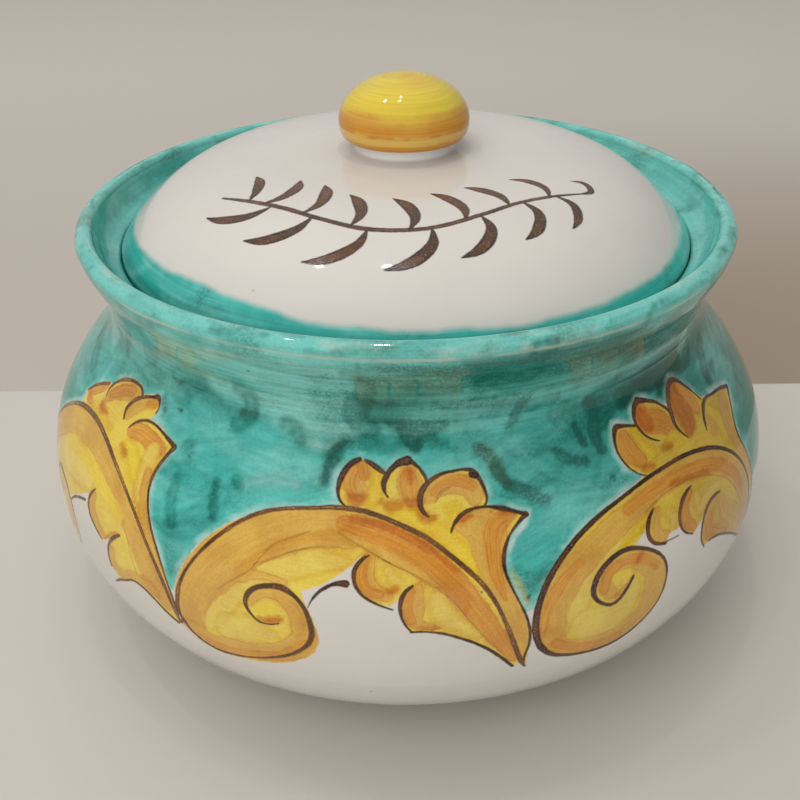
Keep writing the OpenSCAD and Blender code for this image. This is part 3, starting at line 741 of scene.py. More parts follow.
@dataclass
class TurnedForm:
    """A form turned on the wheel: a half profile from axis to axis, swept round the axis.

    profile holds (radius, height) in mm, counter-clockwise, starting and ending on the axis. zero is the row
    from which distances along it are counted, and squeeze how much closer the columns lie at the front.
    """

    name: str
    profile: np.ndarray
    columns: int
    zero: int = 0
    squeeze: float = 0.2

    @property
    def angles(self) -> np.ndarray:
        """The columns' angles from the front, starting with -pi at the back."""
        u = np.linspace(-math.pi, math.pi, self.columns, endpoint=False)
        return u - self.squeeze * np.sin(u)

    @property
    def heights(self) -> np.ndarray:
        """The distance along the profile at each row, in mm."""
        run = arc_length(self.profile)
        return run - run[self.zero]

    def spread(self, per_row: np.ndarray) -> np.ndarray:
        """A value for each row, as one for each vertex."""
        inner = np.repeat(per_row[1:-1], self.columns, axis=0)
        return np.concatenate([per_row[:1], inner, per_row[-1:]])

    def canvas(self, reference: float) -> Canvas:
        """The surface laid out flat, x being the angle times a reference radius in mm."""
        inner = len(self.profile) - 2
        x = np.concatenate([[0.0], np.tile(self.angles * reference, inner), [0.0]])
        scale = np.maximum(self.spread(self.profile[:, 0]) / reference, 0.02)
        return Canvas(x, self.spread(self.heights), scale, 2 * math.pi * reference)

    def corners(self) -> tuple[np.ndarray, np.ndarray, np.ndarray, np.ndarray]:
        """Every face corner in the mesh's order: the quads row by row, then the fans at both ends.

        Returns:
            Its row, its face's lower row and column, and how far right it lies in the face, 0 to 1.
        """
        n, m = len(self.profile) - 2, self.columns
        i, j = (grid.ravel() for grid in np.meshgrid(np.arange(1, n), np.arange(m), indexing="ij"))
        k, last = np.arange(m), np.full(m, n)
        parts = []
        for low, column, ring in (
            (i, j, ((0, 0), (0, 1), (1, 1), (1, 0))),
            (0 * k, k, ((0, 0.5), (1, 1), (1, 0))),
            (last, k, ((1, 0.5), (0, 0), (0, 1))),
        ):
            rows = [np.stack([low + up, low, column, 0 * low + right], -1) for up, right in ring]
            parts.append(np.stack(rows, 1).reshape(-1, 4))
        row, low, column, right = np.vstack(parts).T
        return row.astype(int), low.astype(int), column.astype(int), right

    def build(self, bands: list[tuple[int, int, float]]) -> bpy.types.Object:
        """Makes the mesh object, in metres.

        Vertex (i, j) lies at profile row i and angle j. The ends on the axis are single vertices with fans.

        Args:
            bands: (first row, last row, share of the map's height) for each band of the map, in order.

        Returns:
            The object, linked to the scene, with its map and the flat place of every face corner.
        """
        n, m = len(self.profile) - 2, self.columns
        r, z = self.profile[1:-1, :1] * MM, self.profile[1:-1, 1:] * MM
        a = self.angles[None, :]
        grid = np.stack([r * np.sin(a), -r * np.cos(a), np.broadcast_to(z, (n, m))], -1).reshape(-1, 3)
        ends = self.profile[[0, -1], 1] * MM
        points = np.vstack([[[0, 0, ends[0]]], grid, [[0, 0, ends[1]]]])
        row, _, column, right = self.corners()
        loops = (row - 1) * m + (column + right.astype(int)) % m + 1
        loops = np.where(row == 0, 0, np.where(row == n + 1, n * m + 1, loops))
        sizes = np.concatenate([np.full((n - 1) * m, 4), np.full(2 * m, 3)])
        mesh = bpy.data.meshes.new(self.name)
        mesh.vertices.add(len(points))
        mesh.vertices.foreach_set("co", points.astype(np.float32).ravel())
        mesh.loops.add(len(loops))
        mesh.loops.foreach_set("vertex_index", loops.astype(np.int32))
        mesh.polygons.add(len(sizes))
        mesh.polygons.foreach_set("loop_start", (np.cumsum(sizes) - sizes).astype(np.int32))
        mesh.polygons.foreach_set("use_smooth", np.ones(len(sizes), bool))
        mesh.update(calc_edges=True)
        layout = self.layout(bands).astype(np.float32)
        mesh.uv_layers.new(name="OFBake").data.foreach_set("uv", layout.ravel())
        flat = mesh.attributes.new("flat", "FLOAT_VECTOR", "CORNER")
        flat.data.foreach_set("vector", self.unrolled().astype(np.float32).ravel())
        mesh.validate()
        return linked(self.name, mesh)

    def unrolled(self) -> np.ndarray:
        """Each face corner's (angle, distance along the profile in mm, 0), with a clean seam at the back."""
        row, _, column, right = self.corners()
        angle = np.append(self.angles, math.pi)
        turn = angle[column] * (1 - right) + angle[column + 1] * right
        return np.column_stack([turn, self.heights[row], np.zeros(len(row))])

    def layout(self, bands: list[tuple[int, int, float]]) -> np.ndarray:
        """The map's place of every face corner: each band of rows is two strips, front and back.

        In a strip u is the column's share of its half turn, and v follows the distance along the profile.
        """
        m, n = self.columns, len(self.profile) - 2
        half, run, gap = m // 2, self.heights, 0.004
        base, tall, foot = np.zeros((n + 1, 2)), np.zeros(n + 1), np.zeros(n + 1)
        at = gap / 2
        for first, last, share in bands:
            base[first:last] = at, at + share / 2
            tall[first:last] = (share / 2 - gap) / (run[last] - run[first])
            foot[first:last] = run[first]
            at += share
        row, low, column, right = self.corners()
        turned = (column - m // 4) % m
        u = ((turned % half) + right) / half * (1 - 2 * gap) + gap
        v = base[low, turned // half] + (run[row] - foot[low]) * tall[low]
        return np.stack([u, v], -1)


def linked(name: str, data: bpy.types.ID) -> bpy.types.Object:
    """A new object in the scene."""
    obj = bpy.data.objects.new(name, data)
    bpy.context.scene.collection.objects.link(obj)
    return obj


def store(obj: bpy.types.Object, name: str, values: np.ndarray) -> None:
    """Stores a value for each vertex: three numbers as a vector, or four as a colour."""
    kind, key = ("FLOAT_COLOR", "color") if values.shape[1] == 4 else ("FLOAT_VECTOR", "vector")
    obj.data.attributes.new(name, kind, "POINT").data.foreach_set(key, values.astype(np.float32).ravel())


def store_ink(obj: bpy.types.Object, canvas: Canvas) -> None:
    """Stores every layer of a canvas's lines."""
    for k in range(LAYERS):
        store(obj, f"ink{k}", canvas.ink[k])
        store(obj, f"pen{k}", canvas.pen[k])


def store_wall(obj: bpy.types.Object, canvas: Canvas, turn: np.ndarray, radius: float) -> None:
    """Stores the place on a turned wall without a seam: the turn's sine and minus cosine, and y."""
    store(obj, "wall", np.column_stack([np.sin(turn), -np.cos(turn), canvas.y / radius]))


def opaque(rgb: np.ndarray) -> np.ndarray:
    """Colours with full opacity."""
    return np.column_stack([rgb, np.ones(len(rgb))])


# ---------------------------- the jar body


@dataclass(frozen=True)
class PotBody:
    """The thrown pot: sizes in mm, as in the CAD."""

    jar_h: float = 141.0
    rim_r: float = 110.0
    belly_r: float = 129.5
    belly_z: float = 53.5
    neck_r: float = 102.0
    neck_z: float = 115.0
    wall_t: float = 6.0
    floor_z: float = 9.0
    lip_z: float = 137.4
    lip_in_r: float = 104.2
    seat_z: float = 130.5
    ledge_z: float = 126.5
    ledge_r: float = 96.6
    throat_r: float = 84.0
    ledge_t: float = 6.0
    foot_r: float = 72.0
    foot_in_r: float = 64.5
    foot_h: float = 3.0
    recess_d: float = 2.5
    edge_r: float = 0.8
    lip_edge_r: float = 2.4
    shoulder: Point = (110.0, 98.5)
    shoulder_run: Point = (-0.67, 0.742)
    ridge_at: float = 153.5
    ridge_h: float = 0.2
    columns: int = 592
    squeeze: float = 0.26
    low_rows: int = 8
    painted_rows: int = 85
    scrolls: tuple[Scroll, ...] = (LEFT, FRONT, RIGHT)
    spare: int = 4
    plain: float = 36.0

    def side(self) -> np.ndarray:
        """The outer wall from the foot up to the lip's widest circle, finely."""
        s, run = np.array(self.shoulder), np.array(self.shoulder_run)
        foot, lip = (self.foot_r, self.foot_h), (self.rim_r, self.lip_z)
        belly, neck = (self.belly_r, self.belly_z), (self.neck_r, self.neck_z)
        curves = (
            [foot, (self.foot_r + 32, self.foot_h + 1), (self.belly_r, self.belly_z * 0.4), belly],
            [belly, (self.belly_r, self.belly_z + 20.5), s - 18.5 * run, s],
            [s, s + 8 * run, (self.neck_r, self.neck_z - 7), neck],
        )
        flare = [neck, (self.neck_r, self.neck_z + 7), (self.rim_r - 1.6, self.lip_z - 7), lip]
        return np.vstack([*(bezier(p, 160)[:-1] for p in curves), bezier(flare, 160)])

    def rows(self) -> np.ndarray:
        """Its rows up the outer wall, in mm: close together in the painted band and at the ridge."""
        low, painted = np.linspace(4, 66, self.low_rows), np.arange(72, 148, 0.9)
        ridge = self.ridge_at + np.array([-0.7, -0.35, -0.15, 0, 0.15, 0.35, 0.7])
        return np.concatenate([low, painted, [150, 151.7], ridge, np.arange(156, 178, 2.2)])

    def form(self) -> tuple[TurnedForm, dict[str, int]]:
        """The pot's whole profile, and the rows at which its parts start."""
        side = self.side()
        outer = resample(side, self.rows())
        outer[:, 0] += self.ridge_h * np.exp(-(((self.rows() - self.ridge_at) / 0.28) ** 2))
        e = self.edge_r
        foot = np.vstack([
            [(0, self.recess_d), (30, self.recess_d), (self.foot_in_r - self.recess_d, self.recess_d)],
            arc((self.foot_in_r + e, e), e, 180, 270, 3), arc((self.foot_r - e, e), e, 270, 360, 3),
            [(self.foot_r, self.foot_h)],
        ])
        w = self.lip_edge_r
        lip = bezier([(self.rim_r, self.lip_z), (self.rim_r + 0.3, self.lip_z + 2.23),
                      (self.rim_r - 2.61, self.jar_h), (self.lip_in_r + w, self.jar_h)], 8)[1:]
        under = self.ledge_z - self.ledge_t
        inner = inset(side, self.wall_t)
        slope = under - (self.neck_r - self.wall_t - self.throat_r)
        inner = inner[(inner[:, 1] > self.floor_z + 0.4) & (inner[:, 1] < slope)]
        inner = resample(inner, np.linspace(0, arc_length(inner)[-1], 12))[::-1]
        top = np.array((self.lip_in_r, self.jar_h - w - 0.2))
        seat = np.array((self.ledge_r + 0.6, self.seat_z))
        drop = top - seat
        brim = np.vstack([
            arc((self.lip_in_r + w, self.jar_h - w), w, 105, 180, 6),
            bezier([top, top - (0.25, 0.5) * drop, seat + (0.5, 0.12) * drop, seat], 10),
            [(self.ledge_r, self.seat_z - 0.6)],
        ])
        inside = np.vstack([
            [(self.ledge_r, self.ledge_z + 0.4), (self.ledge_r - 0.4, self.ledge_z), (92, self.ledge_z)],
            arc((self.throat_r + e, self.ledge_z - e), e, 90, 180, 3),
            arc((self.throat_r + e, under + e), e, 180, 225, 2),
            inner, [(self.foot_in_r, self.floor_z), (30, self.floor_z), (0, self.floor_z)],
        ])
        profile = np.vstack([foot, outer, lip, brim, inside])
        marks = {"outer": len(foot) - 1, "lip": len(foot) + len(outer)}
        marks["inside"] = marks["lip"] + len(lip) + len(brim)
        return TurnedForm("jar_body_glazed", profile, self.columns, len(foot) - 1, self.squeeze), marks

    def chain(self) -> list[Scroll]:
        """The scrolls all round: three in front, then a plain stretch of ground and repeats behind."""
        turn = 2 * math.pi * self.belly_r
        left = self.scrolls[-1].end + self.plain
        width = (self.scrolls[0].start + turn - self.plain - left) / self.spare
        again = [
            placed(self.scrolls[(k + 1) % 3], left + k * width, width, 0.8 * math.sin(2.1 * k), 1.7 * k + 0.6)
            for k in range(self.spare)
        ]
        return [*self.scrolls, *again]

    def build(self) -> bpy.types.Object:
        """The pot with its painting stored on its vertices."""
        form, marks = self.form()
        heights = form.heights
        low = marks["outer"] + self.low_rows
        band = [0, low, low + self.painted_rows, marks["inside"], len(form.profile) - 1]
        obj = form.build(list(zip(band[:-1], band[1:], (0.2, 0.4, 0.26, 0.136))))
        canvas = form.canvas(self.belly_r)
        chain = self.chain()
        ground = Ground(chain, lip=heights[marks["lip"]], rim=heights[marks["inside"] + 2])
        leaf = np.full(len(canvas.x), -canvas.far)
        for scroll in chain:
            canvas.edge(np.array(scroll.crest + scroll.hem), leaf)
            canvas.draw(list(scroll.lines))
            canvas.draw([Stroke(w.path, 0.08) for w in scroll.of(SEPIA)])
        teal, spread = ground.paint(canvas)
        bare = form.spread(np.where((form.profile[:, 1] < 1.2) & (form.profile[:, 0] > 60), 1.0, 0.0))
        store_ink(obj, canvas)
        store(obj, "edges", np.column_stack([leaf, spread, bare]))
        store(obj, "ground", opaque(teal))
        self.shade(obj, canvas, chain)
        store_wall(obj, canvas, canvas.x / self.belly_r, self.belly_r)
        return obj

    def shade(self, obj: bpy.types.Object, canvas: Canvas, chain: list[Scroll]) -> None:
        """Stores the leaves' three depths of yellow, with painted shade to the right, and how far each point
        lies inside the last two.
        """
        rng, count = np.random.default_rng(21), len(canvas.x)
        pale = np.tile(0.55 * LEMON.rgb + 0.45 * STRAW.rgb, (count, 1))
        warm = np.tile(0.5 * OCHRE.rgb + 0.5 * STRAW.rgb, (count, 1))
        # Painted shade: towards the right the pale yellow turns honey and every depth of yellow is darker.
        side = ease(canvas.side, 0.25, 0.85)
        tint(pale, 0.5 * side, HONEY)
        second, third = np.full(count, -canvas.far), np.full(count, -canvas.far)
        for scroll in chain:
            light, middle, red = scroll.of(STRAW, LEMON), scroll.of(OCHRE), scroll.of(ORANGE)
            canvas.wash(pale, light, rng)
            canvas.wash(warm, middle, rng, keep=True, grow=1.0)
            second = np.maximum(second, canvas.shape(middle + red, light, scroll.washes))
            third = np.maximum(third, canvas.shape(red, light, scroll.washes))
        deep = warm.copy()
        for scroll in chain:
            canvas.wash(deep, scroll.of(ORANGE), rng, keep=True, grow=0.9)
        for name, colour in (("pale", pale), ("warm", warm), ("deep", deep)):
            for scroll in chain:
                dabs = [replace(w, cover=min(1, w.cover + 0.2), soft=0.8, rim=0.15) for w in scroll.of(RUST)]
                canvas.wash(colour, dabs, np.random.default_rng(8))
            store(obj, name, opaque(colour * (1 - 0.17 * side[:, None])))
        store(obj, "depth", np.column_stack([second, third, np.zeros(count)]))
        store(obj, "bristle", canvas.bristle)


# Half the way round the belly, in mm
HALF = 407.0


@dataclass
class Ground:
    """The turquoise ground brushed on above the chain of scrolls, over the neck and the rim."""

    chain: list[Scroll]
    lip: float
    rim: float
    seed: int = 5

    def paint(self, canvas: Canvas) -> tuple[np.ndarray, np.ndarray]:
        """The ground's colour at each point, and its signed distance to where it stops, in mm."""
        rng = np.random.default_rng(self.seed)
        taken = np.full(len(canvas.x), -canvas.far)
        for scroll in self.chain:
            canvas.edge(np.array([*scroll.crest, (scroll.end, 60.0), (scroll.start, 60.0)]), taken)
        stops = (94, 93, 98, 96, 99, 94, 97)
        stop = np.interp(canvas.x, [s.start for s in self.chain], stops, period=canvas.period)
        spread = np.minimum(np.minimum(-taken, canvas.y - stop), self.rim - canvas.y)
        colour = np.tile(0.68 * TEAL.rgb + 0.32 * AQUA.rgb, (len(canvas.x), 1))
        # Painted shade: below the lip the turquoise deepens towards the right side and towards the far left.
        side = canvas.side
        dim = 0.14 * ease(side, -0.05, 0.3) + 0.3 * ease(side, 0.25, 0.6) + 0.26 * ease(side, 0.6, 0.85)
        dim += 0.2 * ease(side, -0.4, -0.7)
        tint(colour, dim * ease(canvas.y, 182, 176), DEEP)
        canvas.wash(colour, [*self.broad(rng), *self.blots(rng)], rng)
        hazy = [replace(w, soft=0.85 * w.soft, rim=w.rim + 0.1) for w in TOUCHES if w.soft > 0.9]
        canvas.wash(colour, hazy, rng, grow=0.3)
        canvas.wash(colour, [w for w in TOUCHES if w.soft <= 0.9], rng)
        self.lip_paint(canvas, colour, rng)
        return colour, spread

    def broad(self, rng: Random) -> list[Wash]:
        """The ground's pulls: long level ones round the neck, and short slanting ones on the shoulder."""
        washes = []
        for k in range(150):
            tone = (AQUA, TEAL, AQUA, DEEP)[rng.integers(4)]
            x, y = rng.uniform(-HALF, HALF), rng.uniform(150, 180)
            length, half = rng.uniform(24, 100), rng.uniform(1.2, 4.5)
            sag = rng.normal(0, 0.6)
            path = ((x, y, half * 0.8), (x + length / 2, y + sag, half), (x + length, y, half * 0.5))
            washes.append(Wash(tone, path, rng.uniform(0.1, 0.4), 1.2, 0.05, 0.6))
        for k in range(260):
            tone = (AQUA, TEAL, TEAL, DEEP)[rng.integers(4)]
            x, y = rng.uniform(-HALF, HALF), rng.uniform(96, 152)
            angle, length, half = rng.normal(0.12, 0.25), rng.uniform(8, 40), rng.uniform(1.4, 5)
            dx, dy = length * math.cos(angle), length * math.sin(angle)
            bend = rng.normal(0, 1.8)
            middle = (x + dx / 2 - bend * math.sin(angle), y + dy / 2 + bend, half)
            path = ((x, y, half * 0.7), middle, (x + dx, y + dy, half * 0.4))
            washes.append(Wash(tone, path, rng.uniform(0.12, 0.42), 1.3, 0.05, 0.5))
        return washes

    def blots(self, rng: Random) -> list[Wash]:
        """The loaded brush's small darker touches in the wet ground, beside and behind the listed ones."""
        washes = []
        for k in range(190):
            tone = (DEEP, PINE, DEEP)[rng.integers(3)]
            x, y = rng.uniform(-HALF, HALF), 104 + 50 * rng.beta(2.6, 1.2)
            angle, length, half = rng.uniform(-1.6, 1.6), rng.uniform(1, 8), rng.uniform(0.5, 2.4)
            path = ((x, y, half), (x + length * math.cos(angle), y + length * math.sin(angle), half * 0.5))
            if abs(x - 10) > 125:
                washes.append(Wash(tone, path, rng.uniform(0.25, 0.75), 1.2, 0, 0.5))
        return washes

    def lip_paint(self, canvas: Canvas, colour: np.ndarray, rng: Random) -> None:
        """Paints the rolled lip paler and mottled, and painted shade and light on the flare inside it."""
        up, lip = canvas.y, self.lip
        tint(colour, 0.66 * ease(up, lip - 1.6, lip - 0.2) * ease(up, lip + 9.6, lip + 7.2), AQUA)
        # Painted shade on the flare's steeper part inside the lip, less to the right, and painted light on
        # its flatter part to the right.
        side = ease(canvas.side, 0.1, 0.8)
        steep = 0.4 * (1 - 0.75 * side) * ease(up, lip + 8.4, lip + 10.4) * ease(up, lip + 17, lip + 13)
        tint(colour, steep, DEEP)
        tint(colour, 0.35 * side * ease(up, lip + 9, lip + 11), AQUA)
        washes = []
        for k in range(420):
            tone = (AQUA, CREAM, TEAL, TEAL, DEEP)[rng.integers(5)]
            x, up = rng.uniform(-HALF, HALF), rng.uniform(-1, 17)
            tone = AQUA if tone is CREAM and up > 6 else tone
            length, half, at = rng.uniform(2, 24), rng.uniform(0.5, 2.2), lip + up
            middle = (x + length / 2, at + rng.normal(0, 0.7), half)
            path = ((x, at, half * 0.7), middle, (x + length, at, half * 0.4))
            washes.append(Wash(tone, path, rng.uniform(0.15, 0.42), 1.0, 0, 0.5))
        for k in range(210):
            x, at, half = rng.uniform(-HALF, HALF), lip + rng.uniform(-0.5, 9), rng.uniform(0.35, 1.0)
            path = ((x, at, half), (x + rng.uniform(1, 9), at + rng.normal(0, 1.0), half * 0.6))
            washes.append(Wash(DEEP if k % 4 else PINE, path, rng.uniform(0.25, 0.65), 0.7, 0, 0.4))
        canvas.wash(colour, washes, rng)


TOUCHES = (
    deep(((-110,156,3), (-101,166,3.4), (-93,176,3)), 0.42, 1.6, 0.04, 0.5),
    deep(((-112,149,3), (-100,151.6,3.6), (-88,149,2.6)), 0.4, 1.6, 0.04, 0.5),
    deep(((-92,154.6,2.4), (-79,160,2.8), (-63,160.8,3), (-55.4,157,2.6), (-57,151.6,2)), 0.42, 1.3, 0.1,
        0.5),
    deep(((-24,150,3), (-8,151.6,3.4), (10,150,3.6), (24,147,3.6), (34,140,3.6), (45,131,3)), 0.46, 2.0, 0.0,
        0.5),
    deep(((-26,151,2), (-25,144,2.6), (-29,136,2)), 0.5, 1.4, 0.0, 0.5),
    pine(((-5,153.6,1.4), (3,151.2,2), (12,152.4,1.4)), 0.5, 1.4, 0.0, 0.6),
    deep(((44,143,3), (54,139,4), (64,136,3.4)), 0.5, 2.0, 0.0, 0.5),
    pine(((51,140.6,0.9), (55,137.4,1.2), (60.4,135.6,0.9)), 0.6, 1.2, 0, 0.6),
    pine(((72,151,1.6), (75,147.4,2), (72,143.6,1.6)), 0.6, 1.4, 0, 0.5),
    deep(((56,150,4), (66,146,5), (76,150,5), (96,152,6), (128,150,5)), 0.6, 2.2, 0, 0.5),
    pine(((84,148.6,3.4), (98,150.6,4), (112,149.6,4.4), (130,149,4)), 0.5, 1.6, 0, 0.5),
    deep(((-15,157,2.4), (12,157,2.6), (40,157.6,2.4)), 0.5, 1.0, 0.1, 0.5),
    deep(((-13,175,2), (-13.4,166,2.2), (-15.6,158,2)), 0.5, 0.95, 0.15, 0.4),
    aqua(((-54,136,3.4), (-40,139.4,4.4), (-30,137,2.6)), 0.45, 1.8, 0.0, 0.4),
    deep(((-172,109,1), (-182,115,1.5), (-194,124,1.8), (-204,134,1.4)), 0.75, 1.0, 0.1, 0.5),
    deep(((-156,134,2), (-168,138,2.6), (-178,146,2.2)), 0.6, 1.4, 0.05, 0.5),
    deep(((-132,152,1.6), (-126,160,1.9), (-118,166,1.4)), 0.75, 1.0, 0.08, 0.5),
    aqua(((-150,146,3), (-160,152,4), (-172,156,3)), 0.6, 1.4, 0.05, 0.5),
    deep(((14,174,3), (32,172,5), (56,171,4)), 0.6, 1.4, 0.05, 0.5),
    deep(((-6,177.6,1.6), (36,177.4,2.2), (80,177,1.8)), 0.5, 1.2, 0.0, 0.5),
    deep(((-76,112,3), (-66,118,4), (-60,126,3)), 0.45, 1.6, 0.0, 0.5),
    pine(((136,136,1.4), (142,142,2.2), (150,146,1.6)), 0.6, 1.3, 0.05, 0.5),
    aqua(((126,152,3), (140,156,4), (156,154,3)), 0.5, 1.6, 0.05, 0.5),
    # The next four white pulls and the broad aqua ones on the neck left of the front are partly the brush's
    # paler wash and partly painted reflection.
    white(((-66,172,3), (-44,168,7), (-20,168,6)), 0.42, 1.8, 0.0, 0.6),
    white(((-62,159,2), (-42,156,3), (-22,158,3)), 0.3, 1.4, 0.0, 0.6),
    white(((-42,151,2.4), (-30,149.6,5), (-17,151,2.6)), 0.28, 1.9, 0.0, 0.5),
    white(((-54,131,1), (-46,134,1.6), (-36,134.4,1.4)), 0.22, 1.4, 0.0, 0.5),
    white(((37.6,126.2,0.3), (35,122.8,0.6), (31.4,119.6,0.5), (29.2,116,0.3)), 0.75, 0.6, 0, 0),
    white(((75.4,142.6,0.4), (80.6,142.2,0.6)), 0.8, 0.6, 0, 0),
    aqua(((-52,175,2.6), (-34,174.4,3.2), (-12,175,2.6)), 0.7, 1.2, 0.04, 0.4),
    aqua(((-46,152,3.4), (-30,151.6,4), (-16,152.4,3)), 0.6, 1.4, 0.04, 0.5),
    aqua(((-34,139,3), (-26,136.6,3.6), (-24,133,2)), 0.45, 1.8, 0.0, 0.4),
    deep(((-72,162.4,1.2), (-62,163.4,1.4), (-57,160,1.5), (-56,154.6,1.5), (-60,150.6,1.2)), 0.62, 1.1,
        0.05, 0.4),
    deep(((-86,150,1.2), (-80,154.6,1.3), (-72,155.4,1)), 0.45, 1.2, 0.04, 0.4),
    deep(((40,146,6), (58,150,7), (82,153,6), (110,154,5)), 0.42, 2.4, 0.0, 0.5),
    pine(((88,166,3), (104,163,3.4), (122,160,3)), 0.5, 1.6, 0.0, 0.5),
    aqua(((60,160.6,1.2), (84,158.6,1.6), (116,158.4,1.4)), 0.5, 1.2, 0.0, 0.5),
    aqua(((52,112,1), (58,122,1.2), (66,131,1)), 0.4, 1.2, 0.0, 0.5),
    aqua(((46,116,0.8), (50,124,1), (56,130,0.8)), 0.4, 1.2, 0.0, 0.5),
    deep(((-17,172,3), (20,173,4), (70,172,4), (108,171,2)), 0.8, 1.0, 0.08, 0.5),
    deep(((-15,164,4), (20,163,4.5), (64,164,4), (96,163,2)), 0.67, 1.0, 0.08, 0.5),
    deep(((-14,157,3), (16,156.5,3.5), (52,157,2.5)), 0.48, 1.0, 0.08, 0.5),
    # These two, on the neck left of the front, are partly a paler wash and partly painted reflection.
    aqua(((-96,168,5), (-60,167,6), (-22,168,5)), 0.92, 1.4, 0.04, 0.5),
    aqua(((-70,158,4), (-46,157,5), (-20,158,4)), 0.88, 1.4, 0.04, 0.5),
    deep(((-18,160,2.4), (-17,154,3), (-12,151,2)), 0.56, 1.2, 0.06, 0.4),
    deep(((-63.6,129.6,0.9), (-62.8,125,1.3), (-61.4,120,1.2)), 0.92, 1.0, 0, 0.5),
    deep(((-57,131.6,1.4), (-55,130.4,1)), 0.88, 1.2, 0, 0.5),
    deep(((-79,136.6,1.8), (-77,133,1.2)), 0.8, 1.4, 0, 0.6),
    deep(((-78.6,127,1.2), (-78,120,1.6), (-75.6,114,1.4)), 0.64, 1.4, 0, 0.5),
    deep(((-61,159,2), (-57,156,2.4), (-57,151,2), (-62,147,2.4)), 0.64, 1.4, 0.05, 0.4),
    deep(((-43,151,1.6), (-39,149,2), (-37,146,1.2)), 0.72, 1.4, 0, 0.5),
    pine(((-20,147.6,1), (-24,145,1.4), (-26,140.6,1.6), (-27,136,1)), 0.8, 1.2, 0, 0.5),
    deep(((-14,148,1.8), (-5,146.6,2), (4,148.6,2.4), (12,146.6,1.8)), 0.72, 1.4, 0, 0.5),
    pine(((-1,152,1.6), (1.6,148.6,2), (3,146,1.2)), 0.8, 1.2, 0, 0.5),
    olive(((24,145,1.2), (27.6,142.6,1.8), (30.4,137,1.6), (32.6,133.6,1)), 0.92, 1.1, 0, 0.6),
    pine(((29,139,1), (32,134,1.2), (37,131.6,1.8), (43,128,1.6)), 0.8, 1.2, 0, 0.6),
    deep(((36,150,0.8), (38.6,154,1), (41.6,158.4,0.8)), 0.8, 1.0, 0, 0.5),
    pine(((67,152,1.4), (69.6,147.6,1.4), (68,142,1.6), (68.6,137,1.2)), 0.8, 1.2, 0, 0.6),
    pine(((60.6,146,0.6), (62.6,140,0.7)), 0.72, 1.0, 0, 0.4),
    pine(((68.4,128.8,0.6), (69,127.8,0.4)), 0.92, 0.6, 0, 0),
    pine(((84,147.6,1.6), (95,149.4,2.6), (108,148.4,3), (120,148.8,2.4)), 0.92, 1.4, 0, 0.4),
    pine(((103.6,143.6,1), (105.6,146.6,1.6)), 0.92, 1.2, 0, 0.4),
    lemon(((29.2,111,0.4), (31.5,105.6,0.9), (33.1,101.2,0.8)), 0.6, 0.8, 0, 0),
    pine(((33.6,102.4,0.6), (33.4,101.4,0.5)), 0.92, 0.6, 0, 0),
    pine(((-89.4,144.8,0.5), (-87.8,144.6,0.4)), 0.92, 0.5, 0, 0),
    pine(((-98.6,145,1.2), (-96.4,142.6,0.8)), 0.72, 1.2, 0, 0.4),
)


# ---------------------------- the lid and knob

SPRAY = (
    Stroke(((-60,-66.5,0.5), (-50,-62.5,1), (-38,-60.5,1.1), (-24,-62,1), (-10,-64.6,1.1), (6,-64.2,1),
        (22,-60.4,1), (36,-58.4,0.9), (48,-60.4,0.8), (58,-65,0.4)), 0.96),
    Stroke(((-51,-62.6,0.3), (-54.4,-57.4,1.7), (-60,-53.6,1.9), (-65,-52.6,0.3)), 1.06),
    Stroke(((-46,-61.6,0.3), (-43,-55.6,1.8), (-44,-49,2.1), (-48.6,-44.4,0.3)), 1.01),
    Stroke(((-42,-61.4,0.3), (-44.6,-68,1.8), (-50.4,-73,1.9), (-56,-75,0.3)), 1.06),
    Stroke(((-31,-61,0.3), (-28.6,-54.6,1.8), (-31,-47.6,2.2), (-36,-43,0.3)), 0.96),
    Stroke(((-27,-61.8,0.3), (-28.6,-68.4,1.9), (-34,-74.6,2.1), (-39.6,-77,0.3)), 1.06),
    Stroke(((-15,-63.8,0.3), (-13.4,-57.4,1.8), (-16.4,-50.4,2.1), (-21.4,-46.4,0.3)), 1.01),
    Stroke(((-10,-64.8,0.3), (-11.4,-71.4,1.8), (-17,-77.4,2), (-22.6,-79.6,0.3)), 0.98),
    Stroke(((1,-64.8,0.3), (3,-58.4,1.8), (0.6,-51.4,2.1), (-4.4,-47,0.3)), 1.06),
    Stroke(((7,-64.4,0.3), (6.4,-71.2,1.9), (1.4,-77.4,2.1), (-4.4,-80,0.3)), 1.06),
    Stroke(((17,-61.8,0.3), (18.6,-55.4,1.8), (15.6,-48.4,2), (10.6,-44.4,0.3)), 0.96),
    Stroke(((22,-60.6,0.3), (22.4,-67.4,1.8), (17.6,-74.2,2), (12.4,-76.8,0.3)), 1.04),
    Stroke(((33,-58.8,0.3), (34,-52.4,1.7), (30.6,-46.4,1.9), (26,-43,0.3)), 1.01),
    Stroke(((38,-58.6,0.3), (38.6,-65,1.7), (34,-71.4,1.9), (29,-74,0.3)), 1.06),
    Stroke(((48,-60.4,0.3), (52,-55.4,1.5), (51.4,-49.4,1.6), (47.6,-45.4,0.3)), 0.98),
    Stroke(((50,-61.2,0.3), (51,-67,1.5), (47.4,-72.4,1.6), (43,-75,0.3)), 1.06),
    Stroke(((58,-65,0.3), (62.6,-66.6,1.2), (65.6,-63,1.2), (63.6,-59.4,0.3)), 1.01),
)


